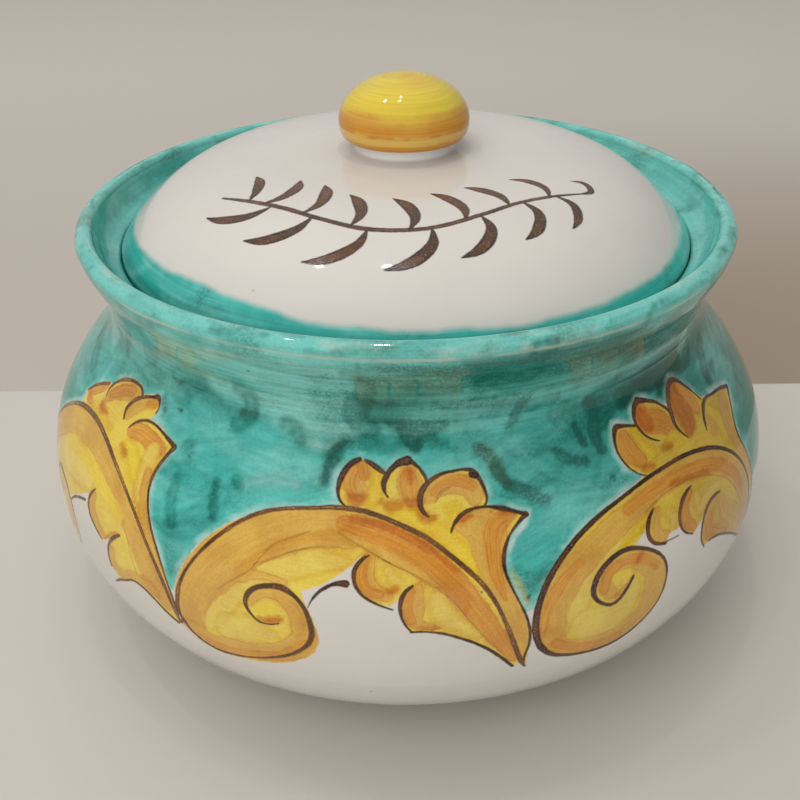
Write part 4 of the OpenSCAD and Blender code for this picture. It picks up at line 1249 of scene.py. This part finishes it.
@dataclass(frozen=True)
class DomedLid:
    """The lid: a domed shell with its flange; sizes in mm, as in the CAD."""

    crown_z: float = 157.4
    dome_h: float = 26.5
    power: float = 5.0
    lid_r: float = 96.1
    shell_t: float = 5.0
    ledge_z: float = 126.5
    flange_h: float = 9.0
    flange_r: float = 82.6
    flange_t: float = 5.0
    edge_r: float = 2.2
    knob_r: float = 22.0
    columns: int = 480
    reference: float = 60.0
    band_r: float = 92.3

    def dome(self, radius: np.ndarray | float) -> np.ndarray | float:
        """The outer face's height: it falls away from the crown with a power of the radius."""
        return self.crown_z - self.dome_h * (radius / self.lid_r) ** self.power

    def form(self) -> tuple[TurnedForm, int]:
        """The lid's whole profile, and the row where its outer face starts."""
        fine = np.linspace(self.lid_r, 0, 900)
        shell = np.stack([fine, self.dome(fine)], 1)
        run = arc_length(shell)
        seen = np.interp(self.knob_r - 1, fine[::-1], run[::-1])
        outer = resample(shell, np.arange(0, seen, 0.85))
        inner_r = self.flange_r - self.flange_t
        inner = inset(shell, self.shell_t)
        inner = inner[(inner[:, 0] < inner_r - 0.4 * self.shell_t) & (inner[:, 0] > 1)][::-1]
        inner = resample(inner, np.linspace(0, arc_length(inner)[-1], 12))
        centre = (inner_r + self.flange_t / 2, self.ledge_z - self.flange_h + self.flange_t / 2)
        profile = np.vstack([
            [(0, self.crown_z - self.shell_t)], inner, [(inner_r, self.dome(inner_r) - 1.6 * self.shell_t)],
            arc(centre, self.flange_t / 2, 180, 360, 9), [(self.flange_r, self.ledge_z)],
            arc((self.lid_r - self.edge_r, self.ledge_z + self.edge_r), self.edge_r, 270, 360, 5),
            outer, [(10, self.dome(10.0)), (0, self.crown_z)],
        ])
        first = len(profile) - 2 - len(outer)
        return TurnedForm("lid_glazed", profile, self.columns, zero=len(profile) - 1), first

    def build(self) -> bpy.types.Object:
        """The lid with its spray of leaves stored on its vertices; on its canvas, up is towards the knob."""
        form, first = self.form()
        last = len(form.profile) - 1
        obj = form.build([(0, first - 6, 0.3), (first - 6, last, 0.68)])
        canvas = form.canvas(self.reference)
        outside = form.spread((np.arange(last + 1) >= first - 2).astype(float)) > 0.5
        canvas.draw(list(SPRAY))
        canvas.ink[:, ~outside] = canvas.far
        radius = form.spread(form.profile[:, 0])
        sway = 0.5 * ripple(canvas.x / 14, 2.0) + 0.25 * ripple(canvas.x / 3.1, 4.0)
        turn = canvas.x / self.reference
        wide = 3.0 * np.exp(-(((turn + 0.75) / 0.42) ** 2)) - 0.5 * np.sin(turn)
        band = np.where(outside, radius - self.band_r + wide + sway, -canvas.far)
        foot = self.ledge_z - self.flange_h
        bare = form.spread(ease(form.profile[:, 1], foot + 1.6, foot + 0.6))
        store_ink(obj, canvas)
        store(obj, "edges", np.column_stack([radius - self.lid_r, band, bare]))
        store_wall(obj, canvas, turn, self.lid_r)
        return obj


@dataclass(frozen=True)
class BallKnob:
    """The knob: a flattened ball on a short waisted neck; sizes in mm, as in the CAD."""

    crown_z: float = 157.4
    knob_r: float = 21.6
    knob_h: float = 24.4
    wide_h: float = 9.5
    neck_h: float = 3.9
    neck_r: float = 15.0
    foot_r: float = 24.0
    edge_t: float = 0.04
    columns: int = 192

    def form(self) -> TurnedForm:
        """The knob's whole profile, from the crown up."""
        z, waist = self.crown_z, (self.neck_r, self.crown_z + 0.6 * self.neck_h)
        brim = (0.875 * self.knob_r, z + 1.02 * self.neck_h)
        wide = (self.knob_r, z + self.wide_h)
        luted = (self.foot_r, z - self.edge_t)
        cove = bezier([luted, (self.foot_r - 6, z + 0.02), (self.neck_r + 0.6, z + 0.1), waist], 14)
        bowl = (waist[0], waist[1] + 0.25 * self.neck_h)
        under = bezier([waist, bowl, (brim[0] - 2, brim[1] - 0.5), brim], 8)
        cheek = bezier([brim, (brim[0] + 1.6, brim[1] + 0.5), (wide[0], wide[1] - 3), wide], 9)
        w = np.radians(np.linspace(0, 90, 40))
        cap = np.stack([self.knob_r * np.cos(w), wide[1] + (self.knob_h - self.wide_h) * np.sin(w)], 1)
        cap[-1, 0] = 0
        base = [(0, z - 1), (self.foot_r, z - 1), (self.foot_r + 2, z - 0.75), (self.foot_r + 1.4, z - 0.28)]
        profile = np.vstack([base, cove[:-1], under[:-1], cheek[:-1], cap])
        return TurnedForm("knob_glazed", profile, self.columns, zero=len(profile) - 1, squeeze=0.0)

    def build(self) -> bpy.types.Object:
        """The knob's mesh, with the place on its wall stored for the wheel's bands."""
        form = self.form()
        obj = form.build([(0, 4, 0.16), (4, len(form.profile) - 1, 0.82)])
        canvas = form.canvas(self.knob_r)
        store_wall(obj, canvas, canvas.x / self.knob_r, self.knob_r)
        return obj


# ---------------------------- shader graphs


@dataclass(frozen=True)
class Wire:
    """An output socket in its graph. Plain signs between wires and numbers add the nodes for them."""

    graph: "Graph"
    socket: bpy.types.NodeSocket

    def __add__(self, other: object) -> "Wire":
        """The sum."""
        return self.graph.math("ADD", self, other)

    def __sub__(self, other: object) -> "Wire":
        """The difference."""
        return self.graph.math("SUBTRACT", self, other)

    def __rsub__(self, other: float) -> "Wire":
        """A number less this."""
        return self.graph.math("SUBTRACT", other, self)

    def __mul__(self, other: object) -> "Wire":
        """The product."""
        return self.graph.math("MULTIPLY", self, other)

    __radd__, __rmul__ = __add__, __mul__


class Graph:
    """Adds nodes to a shader tree and links them."""

    def __init__(self, tree: bpy.types.NodeTree) -> None:
        """Starts on an empty tree."""
        self.tree = tree
        tree.nodes.clear()

    def set(self, socket: bpy.types.NodeSocket, value: object) -> None:
        """Links a socket to a wire, or gives it a fixed value."""
        if isinstance(value, Wire):
            self.tree.links.new(value.socket, socket)
        elif value is not None:
            socket.default_value = value

    def add(self, kind: str, inputs: Values | None = None, **settings: object) -> bpy.types.Node:
        """Adds a node.

        Args:
            kind: its type, without ShaderNode in front.
            inputs: values or wires for its inputs, by name or number.
            settings: its own properties.

        Returns:
            The node.
        """
        node = self.tree.nodes.new(kind if kind.startswith("Node") else "ShaderNode" + kind)
        for name, value in settings.items():
            setattr(node, name, value)
        for key, value in (inputs or {}).items():
            self.set(node.inputs[key], value)
        return node

    def out(self, kind: str, key: object = 0, inputs: Values | None = None, **settings: object) -> Wire:
        """Adds a node as add() does, and gives its output of that name or number."""
        return Wire(self, self.add(kind, inputs, **settings).outputs[key])

    def math(self, operation: str, a: object, b: object = None, clamp: bool = False) -> Wire:
        """One calculation on numbers."""
        return self.out("Math", 0, {0: a, 1: b}, operation=operation, use_clamp=clamp)

    def step(self, value: Wire, low: object, high: object, start: object = 0.0, stop: object = 1.0) -> Wire:
        """A smooth step from start to stop as the value runs from low to high."""
        inputs = {"Value": value, "From Min": low, "From Max": high, "To Min": start, "To Max": stop}
        return self.out("MapRange", "Result", inputs, interpolation_type="SMOOTHSTEP")

    def blend(self, share: object, a: object, b: object) -> Wire:
        """Two numbers mixed."""
        return self.out("Mix", 0, {0: share, 2: a, 3: b})

    def mix(self, share: object, a: object, b: object, way: str = "MIX") -> Wire:
        """Two colours mixed."""
        return self.out("Mix", 2, {0: share, 6: a, 7: b}, data_type="RGBA", blend_type=way)

    def veil(self, colour: Wire, value: Wire, share: float = 1.0) -> Wire:
        """A colour made lighter and darker by a grey laid over it, which leaves it as it is at a half."""
        return self.mix(share, colour, self.grey(value), "OVERLAY")

    def grey(self, value: Wire) -> Wire:
        """A number as a grey colour."""
        return self.out("CombineColor", 0, {0: value, 1: value, 2: value})

    def noise(self, vector: Wire, scale: float, detail: float = 2.0, rough: float = 0.5) -> Wire:
        """A soft random value over space."""
        inputs = {"Vector": vector, "Scale": scale, "Detail": detail, "Roughness": rough}
        return self.out("TexNoise", "Fac", inputs)

    def rings(self, wall: Wire, across: float, up: float, detail: float, rough: float = 0.5) -> Wire:
        """A soft random value drawn out round the wheel's axis."""
        x, y, z = self.split(wall)
        return self.noise(self.join(x * across, y * across, z * up), 1.0, detail, rough)

    def stored(self, name: str, key: str = "Vector") -> Wire:
        """What a vertex attribute holds."""
        return self.out("Attribute", key, attribute_name=name, attribute_type="GEOMETRY")

    def split(self, vector: Wire) -> list[Wire]:
        """The three numbers of a vector."""
        return [Wire(self, socket) for socket in self.add("SeparateXYZ", {0: vector}).outputs]

    def join(self, x: object, y: object, z: object) -> Wire:
        """Three numbers as a vector."""
        return self.out("CombineXYZ", 0, {0: x, 1: y, 2: z})

    def use(self, group: bpy.types.NodeTree, inputs: dict[str, object]) -> dict[str, Wire]:
        """Places a node group and gives its outputs by name."""
        return {s.name: Wire(self, s) for s in self.add("Group", inputs, node_tree=group).outputs}


def new_group(name: str, inputs: dict[str, float | None], *outputs: str) -> tuple[Graph, dict[str, Wire]]:
    """An empty node group.

    Args:
        name: its name.
        inputs: by name, each number's default, or None for a vector.
        outputs: the names of the numbers it gives.

    Returns:
        The group's graph, and its inputs by name.
    """
    group = bpy.data.node_groups.new(name, "ShaderNodeTree")
    for key, default in inputs.items():
        kind = "NodeSocketVector" if default is None else "NodeSocketFloat"
        socket = group.interface.new_socket(key, in_out="INPUT", socket_type=kind)
        if default is not None:
            socket.default_value = default
    for key in outputs:
        group.interface.new_socket(key, in_out="OUTPUT", socket_type="NodeSocketFloat")
    graph = Graph(group)
    return graph, {s.name: Wire(graph, s) for s in graph.add("NodeGroupInput").outputs if s.name}


def liner_group() -> bpy.types.NodeTree:
    """A painted line from the way to its nearest point: where it lies and how dark it is.

    Within 0.9 mm the way's own length counts, which is nought on the line between two vertices too; further
    off the stored distance does. The edge wanders, and the pigment streaks along the line, thins where the
    brush ran dry and darkens at its edges; where it lies thick it has painted glints, pale dots standing for
    highlights.
    """
    inputs = {"Ink": None, "Pen": None, "Place": None, "Weight": 1.0}
    g, at = new_group("Liner stroke", inputs, "Mask", "Density", "Glint")
    dx, dy, away = g.split(at["Ink"])
    half, load, run = g.split(at["Pen"])
    length = g.math("SQRT", dx * dx + dy * dy)
    close = g.math("LESS_THAN", away, 0.9)
    reach = length * close + away * (1.0 - close)
    wander = (g.noise(at["Place"], 520.0, 3.0, 0.65) - 0.5) * 0.5
    gap = reach - half * at["Weight"] + wander
    streak = g.noise(g.join(run * 0.1, reach * 2.2, half), 1.0, 3.0, 0.65)
    grain = g.noise(at["Place"], 1700.0, 2.0, 0.7)
    dark = load - 0.12 + (streak - 0.5) * 1.5 + (grain - 0.5) * 1.0
    dark = g.math("ADD", dark, (g.step(gap, -0.7, -0.1) - 0.5) * 0.14, clamp=True)
    body = g.step(dark, 0.0, 0.5, 0.4, 1.0)
    # Painted glints: pale dots standing for highlights where the line lies thick.
    glint = g.step(g.noise(at["Place"], 2300.0, 1.0), 0.64, 0.72) * g.step(half, 0.72, 0.95)
    g.add("NodeGroupOutput", {"Mask": g.step(gap, 0.26, -0.26) * body, "Density": dark, "Glint": glint})
    return g.tree


def bristle_group() -> bpy.types.NodeTree:
    """Fine streaks along a brush's pull, from the way along and across it."""
    g, at = new_group("Bristle marks", {"Pull": None, "Fine": 1.4}, "Value")
    along, across, own = g.split(at["Pull"])
    place = g.join(along * 0.09, across * at["Fine"], own * 5.0)
    g.add("NodeGroupOutput", {"Value": g.noise(place, 1.0, 4.0, 0.7)})
    return g.tree


def water_group() -> bpy.types.NodeTree:
    """Where a wash dried thin from a wet brush, and where it pooled and is grainy."""
    g, at = new_group("Watery wash", {"Place": None}, "Thin", "Pooled")
    place = at["Place"]
    drift = g.out("TexNoise", "Color", {"Vector": place, "Scale": 30.0, "Detail": 2.0})
    bent = g.out("VectorMath", 0, {0: drift, 3: 0.026}, operation="SCALE")
    bent = g.out("VectorMath", 0, {0: place, 1: (1.0, 1.0, 1.7), 2: bent}, operation="MULTIPLY_ADD")
    thin = g.step(g.noise(bent, 30.0, 4.0, 0.58), 0.47, 0.66, 0.0, 0.48)
    pooled = g.step(g.noise(bent, 40.0, 5.0, 0.62), 0.49, 0.66, 0.0, 0.5)
    grain = g.step(g.noise(place, 1500.0, 2.0, 0.65), 0.34, 0.66, 0.45, 1.35)
    pooled = g.math("MULTIPLY", pooled, grain, clamp=True)
    g.add("NodeGroupOutput", {"Thin": thin, "Pooled": pooled})
    return g.tree


def skin_group() -> bpy.types.NodeTree:
    """The fired glaze's skin: slow clouds of thickness, small specks, and the height of its uneven surface.

    The height adds the wheel's faint rings, slow waves and fine orange peel, in metres.
    """
    g, at = new_group("Glaze skin", {"Wall": None, "Place": None, "Rings": 1.0}, "Cloud", "Speck", "Height")
    height = g.rings(at["Wall"], 0.25, 26.0, 2.0) * at["Rings"] * 0.00012
    height = height + g.noise(at["Place"], 42.0) * 0.00022
    height = height + g.noise(at["Place"], 420.0, 1.0) * 0.000006
    spots = g.add("TexVoronoi", {"Vector": at["Place"], "Scale": 95.0}, feature="F1")
    tint, distance = (Wire(g, spots.outputs[key]) for key in ("Color", "Distance"))
    pick = g.split(g.out("VectorMath", 0, {0: tint}, operation="FRACTION"))[0]
    speck = g.step(distance, 0.06, 0.03) * g.math("GREATER_THAN", pick, 0.86)
    cloud = g.noise(at["Place"], 24.0, 3.0, 0.55)
    g.add("NodeGroupOutput", {"Cloud": cloud, "Speck": speck, "Height": height})
    return g.tree


@dataclass(frozen=True)
class Finish:
    """How a fired surface takes the light."""

    roughness: float = 0.05
    ink_roughness: float = 0.18
    clay_roughness: float = 0.85
    relief: float = 0.00005


class Glaze(Graph):
    """A glaze's material: the colours of one piece over the fired skin that all of them have."""

    def __init__(self, name: str, kiln: "Kiln", rings: float) -> None:
        """Starts with the shader, the object's own coordinates and the skin.

        Args:
            name: the material's name.
            kiln: the shared groups and the finish.
            rings: how much of the wheel's rings shows.
        """
        self.material, self.kiln = bpy.data.materials.new(name), kiln
        self.material.use_nodes = True
        super().__init__(self.material.node_tree)
        self.shader = self.add("BsdfPrincipled", {"IOR": 1.52})
        self.add("OutputMaterial", {"Surface": Wire(self, self.shader.outputs[0])})
        self.place, self.wall = self.out("TexCoord", "Object"), self.stored("wall")
        self.skin = self.use(kiln.skin, {"Wall": self.wall, "Place": self.place, "Rings": rings})

    def cloud(self, scale: float, detail: float = 2.0, rough: float = 0.5) -> Wire:
        """A soft random value over the object."""
        return self.noise(self.place, scale, detail, rough)

    def white(self, dim: float) -> Wire:
        """The tin glaze, which a share dims where it lies thick."""
        return self.mix(self.step(self.skin["Cloud"], 0.3, 0.7), WHITE.rgba, WHITE.times(dim))

    def lines(self, colour: Wire, weight: float) -> tuple[Wire, Wire]:
        """Lays the layers of dark lines over a colour.

        Args:
            colour: what lies under the lines.
            weight: how much of their stored width the lines have.

        Returns:
            The colour with the lines, and how much they cover.
        """
        covered = 0.0
        for k in range(LAYERS):
            way = {"Ink": self.stored(f"ink{k}"), "Pen": self.stored(f"pen{k}")}
            line = self.use(self.kiln.liner, {**way, "Place": self.place, "Weight": weight})
            dark = self.mix(line["Density"], SEPIA.rgba, INK.rgba)
            # The glints are painted highlights, pale dots in the dark line.
            dark = self.mix(line["Glint"] * 0.5, dark, CLAY.rgba)
            colour = self.mix(line["Mask"], colour, dark)
            covered = self.math("MAXIMUM", covered, line["Mask"])
        return colour, covered

    def leaf(self) -> Wire:
        """A leaf's yellow: ochre over lemon and orange over ochre, each with the dark rim it dried with."""
        colour = self.stored("pale", "Color")
        second, third, _ = self.split(self.stored("depth"))
        marks = self.use(self.kiln.bristle, {"Pull": self.stored("bristle"), "Fine": 1.7})["Value"]
        soft = self.step(self.cloud(95.0, 1.0), 0.36, 0.68, 0.18, 1.9)
        ragged = (self.cloud(600.0, 3.0, 0.65) - 0.5) * 0.9
        broken = self.step(self.cloud(95.0), 0.44, 0.62, 0.06, 0.42)
        for name, depth in (("warm", second), ("deep", third)):
            at = depth + ragged
            colour = self.mix(self.step(at, soft * -1.0, soft), colour, self.stored(name, "Color"))
            rim = self.step(at, -0.1, 0.12) * self.step(at, 0.62, 0.2)
            colour = self.mix(rim * broken, colour, RUST.rgba)
        bold = self.step(third, -0.5, 0.8, 0.05, 0.095)
        colour = self.veil(colour, self.step(marks, 0.28, 0.72, 0.5 - bold, 0.5 + bold))
        colour = self.veil(colour, self.step(self.cloud(1500.0, 2.0, 0.7), 0.3, 0.7, 0.46, 0.54))
        return self.veil(colour, self.step(self.cloud(70.0, 3.0, 0.6), 0.3, 0.7, 0.44, 0.56))

    def brushed(self, across: Wire, up: Wire) -> Wire:
        """The ground's brush marks, around a half: slanting both ways on the shoulder, level on the neck.

        Args:
            across: mm round the belly.
            up: mm up the wall.

        Returns:
            The value to lay over the ground as a veil.
        """
        sets = []
        for angle, close in ((-0.1, 0.34), (0.34, 0.4), (0.0, 0.6)):
            c, s = math.cos(angle), math.sin(angle)
            along, side = across * c + up * s, up * c - across * s
            sets.append(self.noise(self.join(along * 0.03, side * close, angle), 1.0, 4.0, 0.62))
        which = self.noise(self.join(across * 0.045, up * 0.06, 3.0), 1.0, 1.0)
        slant = self.blend(self.step(which, 0.36, 0.64), sets[0], sets[1])
        marks = self.blend(self.step(up + which * 12.0, 150.0, 160.0), slant, sets[2])
        deep = self.step(up, 176.0, 181.0, 1.0, 0.3) * self.step(up, 150.0, 160.0, 0.085, 0.12)
        return self.step(marks, 0.27, 0.73, 0.5 - deep, 0.5 + deep)

    def watery(self, colour: Wire) -> Wire:
        """A turquoise dried from a wet brush: pale where it thinned, darker and grainy where it pooled."""
        wet = self.use(self.kiln.water, {"Place": self.place})
        return self.mix(wet["Pooled"], self.mix(wet["Thin"], colour, AQUA.rgba), DEEP.rgba)

    def marked(self, colour: Wire, bare: Wire, speck: Pigment, share: float) -> Wire:
        """A colour with the glaze's specks, and the bare clay where the glaze was wiped off."""
        return self.mix(bare, self.mix(self.skin["Speck"] * share, colour, speck.rgba), CLAY.rgba)

    def fired(self, colour: Wire, ink: object = 0.0, bare: object = 0.0) -> bpy.types.Material:
        """Finishes the material: its colour, gloss and uneven skin, with the dark lines standing up a little.

        Args:
            colour: the finished colour.
            ink: how much the dark lines cover.
            bare: where the clay is bare.

        Returns:
            The material.
        """
        finish = self.kiln.finish
        rough = self.blend(ink, finish.roughness, finish.ink_roughness)
        raised = (self.cloud(2400.0, 1.0) * ink + ink) * finish.relief
        relief = {"Strength": 1.0, "Distance": 1.0, "Height": self.skin["Height"] + raised}
        self.set(self.shader.inputs["Base Color"], colour)
        self.set(self.shader.inputs["Roughness"], self.blend(bare, rough, finish.clay_roughness))
        self.set(self.shader.inputs["Normal"], self.out("Bump", 0, relief))
        return self.material


@dataclass
class Kiln:
    """The three glazes, and the node groups that they share, built once."""

    liner: bpy.types.NodeTree = field(default_factory=liner_group)
    bristle: bpy.types.NodeTree = field(default_factory=bristle_group)
    water: bpy.types.NodeTree = field(default_factory=water_group)
    skin: bpy.types.NodeTree = field(default_factory=skin_group)
    finish: Finish = field(default_factory=Finish)

    def painted(self) -> bpy.types.Material:
        """The jar's glaze: white below, brushed turquoise above, yellow leaves, and dark lines over them."""
        g = Glaze("painted_glaze", self, 1.0)
        leaf, ground, bare = g.split(g.stored("edges"))
        turn, up, _ = g.split(g.stored("flat"))
        wander = (g.cloud(260.0, 3.0, 0.6) - 0.5) * 2.2
        fine = (g.cloud(700.0, 2.0, 0.6) - 0.5) * 0.9
        laid = g.stored("ground", "Color")
        thick = g.step(g.split(laid)[1], 0.36, 0.15)
        flecks = g.step(g.cloud(1300.0, 3.0, 0.75) + thick * 0.2, 0.56, 0.74)
        teal = g.mix(flecks * (thick * 0.55), g.watery(laid), MOSS.rgba)
        teal = g.veil(teal, g.brushed(turn * PotBody.belly_r, up))
        teal = g.veil(teal, g.step(g.cloud(1100.0, 3.0, 0.7), 0.3, 0.7, 0.46, 0.54))
        broken = g.step(g.cloud(75.0), 0.4, 0.64, 0.04, 0.42)
        # A pale tan line under the lip's widest circle, and a painted highlight along the lip's inner edge.
        for height, half, thin in ((178.5, 0.8, CREAM), (185.2, 0.35, FOAM)):
            level = g.math("ABSOLUTE", up - height + wander * 0.3)
            teal = g.mix(g.step(level, half, half * 0.3) * broken, teal, thin.rgba)
        spread = ground + (wander * 0.9 + fine)
        halo = g.step(spread, 2.6, 0.7) * g.step(g.cloud(110.0), 0.4, 0.62, 0.1, 0.55)
        teal = g.mix(halo, teal, FOAM.rgba)
        colour = g.mix(g.step(spread, -0.5, 0.5), g.white(0.95), teal)
        colour = g.mix(g.step(leaf + fine, -0.3, 0.4), colour, g.leaf())
        colour, inked = g.lines(colour, 1.0)
        return g.fired(g.marked(colour, bare, PINE, 0.55), inked, bare)

    def crown(self) -> bpy.types.Material:
        """The lid's glaze: white, with the brushed turquoise edge and the dark spray of leaves."""
        g = Glaze("white_glaze", self, 0.6)
        lip, ground, bare = g.split(g.stored("edges"))
        x, y, _ = g.split(g.wall)
        # Painted shade of the crack between lid and rim: the turquoise deepens towards the edge, most at the
        # front left, and most of all along the outermost edge.
        left = g.step(x * 0.7 + y * 0.7, -0.35, -0.9, 0.25, 1.0)
        teal = g.mix(g.step(lip, -4.0, -1.0, 0.0, 0.6) * left, TEAL.rgba, DEEP.rgba)
        streaks = g.step(g.rings(g.wall, 1.6, 60.0, 4.0, 0.62), 0.25, 0.75, 0.3, 0.7)
        teal = g.veil(g.watery(teal), streaks, 0.5)
        teal = g.mix(g.step(lip, -0.35, 0.0, 0.0, 0.6), teal, DEEP.rgba)
        colour = g.mix(g.step(ground, -0.9, 0.9), g.white(0.96), teal)
        colour, inked = g.lines(colour, 0.92)
        return g.fired(g.marked(colour, bare, SEPIA, 0.25), inked, bare)

    def banded(self) -> bpy.types.Material:
        """The knob's glaze: yellow over orange, banded on the turning wheel, and a white neck in painted
        light with painted shade round its foot.
        """
        g = Glaze("yellow_glaze", self, 0.8)
        x, y, z = g.split(g.place)
        sway = (g.cloud(60.0) - 0.5) * 1.6
        level = z * 1000.0 + sway
        patch = (g.cloud(85.0, 3.0, 0.6) - 0.5) * 7.0
        near, loose = level + patch * 0.22, level + patch
        broken = g.step(g.cloud(130.0), 0.4, 0.6, 0.1, 1.0)
        reach = g.out("VectorMath", "Value", {0: g.join(x, y, 0.0)}, operation="LENGTH")
        # Painted shade on the foot round the neck, under the ball's overhang, and painted light on the neck
        # itself.
        foot = g.mix(g.step(reach, 0.0216, 0.0236), SHADED_WHITE.rgba, WHITE.rgba)
        neck = g.mix(g.step(reach, 0.0156, 0.0176), LIT_WHITE.rgba, foot)
        colour = g.mix(g.step(level, 161.2, 161.6), neck, AMBER.rgba)
        colour = g.mix(g.step(near, 163.2, 164.2, 0.0, 0.6), colour, STRAW.rgba)
        colour = g.mix(g.step(near, 166.0, 166.5, 0.0, 0.6) * broken, colour, RUST.rgba)
        colour = g.mix(g.step(near, 166.8, 167.4, 0.0, 0.9), colour, AMBER.rgba)
        colour = g.mix(g.step(loose, 167.5, 170.5, 0.0, 0.8), colour, OCHRE.rgba)
        colour = g.mix(g.step(loose, 170.2, 174.0), colour, CITRON.rgba)
        away = g.out("VectorMath", "Value", {0: g.place, 1: (0.0025, -0.005, 0.1808)}, operation="DISTANCE")
        colour = g.mix(g.step(away * 1000.0 + sway, 5.6, 2.4, 0.0, 0.7), colour, GOLD.rgba)
        bands = g.grey(g.step(g.rings(g.wall, 0.5, 22.0, 3.0, 0.6), 0.25, 0.75, 0.36, 0.64))
        bands = g.mix(g.step(level, 161.2, 161.8), (0.5, 0.5, 0.5, 1.0), bands)
        return g.fired(g.mix(0.45, colour, bands, "OVERLAY"))


# ---------------------------- the studio

# Each lamp's name, place, size, brightness and the point it faces, in metres
LAMPS = (
    ("overhead", (-0.5, 0.5, 2.0), 2.2, 0.75, (0, 0, 0.1)),
    ("front_left", (-0.8, -1.4, 1.7), 1.6, 1.95, (0, 0, 0.08)),
    ("front_low", (-0.25, -1.85, 0.65), 1.2, 2.35, (0, 0, 0.08)),
    ("ceiling_left", (-0.69, 0.15, 2.0), 0.07, 130.0, (0, 0, 0.1)),
    ("ceiling_right", (-0.14, 0.14, 2.09), 0.07, 130.0, (0, 0, 0.1)),
)


@dataclass(frozen=True)
class Studio:
    """The plain floor, the soft light and the camera."""

    join_y: float = 0.1076
    floor_side: float = 3.4
    sky: float = 0.2
    lens: float = 45.0
    eye: Point = (0.0, -0.32904, 0.25974)
    right: Point = (0.99992650, 0.00062321, -0.01210787)
    up: Point = (0.01000255, 0.52193945, 0.85292389)

    def floor(self) -> None:
        """The floor, a shade darker beyond the line behind the jar, with painted light further back and a
        painted shadow to the right.
        """
        half = self.floor_side / 2
        corners = [(-half, -half, 0), (half, -half, 0), (half, half, 0), (-half, half, 0)]
        mesh = bpy.data.meshes.new("floor")
        mesh.from_pydata(corners, [], [(0, 1, 2, 3)])
        obj = linked("floor", mesh)
        material = bpy.data.materials.new("floor")
        material.use_nodes = True
        g = Graph(material.node_tree)
        side, depth, _ = g.split(g.out("TexCoord", "Object"))
        past = g.step(depth, self.join_y - 0.0006, self.join_y + 0.0006)
        # Painted light: beyond the line the floor grows lighter towards the back. Painted shadow: a darker
        # patch to the right behind the jar.
        wall = g.mix(g.step(depth, 0.12, 0.9), BEYOND.rgba, FAR.rgba)
        wall = g.mix(g.step(side, 0.02, 0.19) * g.step(depth, 0.62, 0.12), wall, SHADE.rgba)
        dull = {"Roughness": 0.55, "Specular IOR Level": 0.3, "Base Color": g.mix(past, TABLE.rgba, wall)}
        g.add("OutputMaterial", {"Surface": g.out("BsdfPrincipled", 0, dull)})
        obj.data.materials.append(material)
        obj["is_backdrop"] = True

    def lamp(self, name: str, at: Point, size: float, radiance: float, to: Point) -> None:
        """A lamp facing a point, with its face's radiance. Only a small one shows in the glaze."""
        wide = size > 0.5
        data = bpy.data.lights.new(name, "AREA")
        data.shape = "SQUARE" if wide else "DISK"
        data.size = size
        data.energy = radiance * math.pi * size * size * (1 if wide else math.pi / 4)
        obj = linked(name, data)
        obj.visible_glossy = not wide
        obj.location = at
        obj.rotation_euler = (Vector(to) - Vector(at)).to_track_quat("-Z", "Y").to_euler()

    def lights(self) -> None:
        """The lamps, and a sky that is brighter overhead and behind the jar and dimmer to the right."""
        for lamp in LAMPS:
            self.lamp(*lamp)
        world = bpy.data.worlds.new("studio")
        bpy.context.scene.world = world
        world.use_nodes = True
        g = Graph(world.node_tree)
        side, behind, above = g.split(g.out("TexCoord", "Generated"))
        level = g.step(behind, -0.3, 0.7, 0.0, 0.28) + g.step(above, 0.25, 0.9, self.sky, self.sky + 0.32)
        level = level * g.step(side, 0.0, 0.9, 1.0, 0.7)
        glow = g.out("Background", 0, {"Color": (1.0, 0.975, 0.95, 1), "Strength": level})
        back = g.out("Background", 0, {"Color": BEYOND.rgba, "Strength": 1.0})
        seen = g.out("LightPath", "Is Camera Ray")
        g.add("OutputWorld", {"Surface": g.out("MixShader", 0, {0: seen, 1: glow, 2: back})})

    def camera(self) -> None:
        """The camera, in front of the jar and looking down on it."""
        data = bpy.data.cameras.new("camera")
        data.lens, data.sensor_width = self.lens, 36.0
        data.clip_start, data.clip_end = 0.02, 20.0
        obj = linked("camera", data)
        right, up = Vector(self.right).normalized(), Vector(self.up).normalized()
        back = right.cross(up).normalized()
        turn = Matrix((right, back.cross(right), back)).transposed()
        obj.matrix_world = Matrix.Translation(self.eye) @ turn.to_4x4()
        bpy.context.scene.camera = obj


# ---------------------------- assembly


def put(obj: bpy.types.Object, material: bpy.types.Material, node: str, body: str) -> None:
    """Gives a piece its glaze and sets it in the place of its CAD node.

    Args:
        obj: the piece.
        material: its glaze.
        node: the CAD node it stands for.
        body: the CAD body it rides on.
    """
    obj.data.materials.append(material)
    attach(obj, body)
    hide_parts(node)
    log.info("%s stands for %s and rides on %s: %d faces", obj.name, node, body, len(obj.data.polygons))


def write_size() -> None:
    """Writes the CAD's box and the shown object's box."""
    low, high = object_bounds()
    corners = (tuple(round(v, 4) for v in corner) for corner in (LOWEST, HIGHEST, low, high))
    log.info("box of the CAD %s to %s, shown %s to %s", *corners)


def main() -> None:
    """Builds the studio and the jar's three pieces, in order."""
    logging.basicConfig(level=logging.INFO, format="%(message)s")
    bpy.context.scene.view_settings.view_transform = "Standard"
    studio = Studio()
    studio.floor()
    studio.lights()
    studio.camera()
    kiln = Kiln()
    put(PotBody().build(), kiln.painted(), "jar_body", "jar")
    put(DomedLid().build(), kiln.crown(), "lid", "lid")
    put(BallKnob().build(), kiln.banded(), "knob", "lid")
    write_size()


if __name__ == "__main__":
    main()
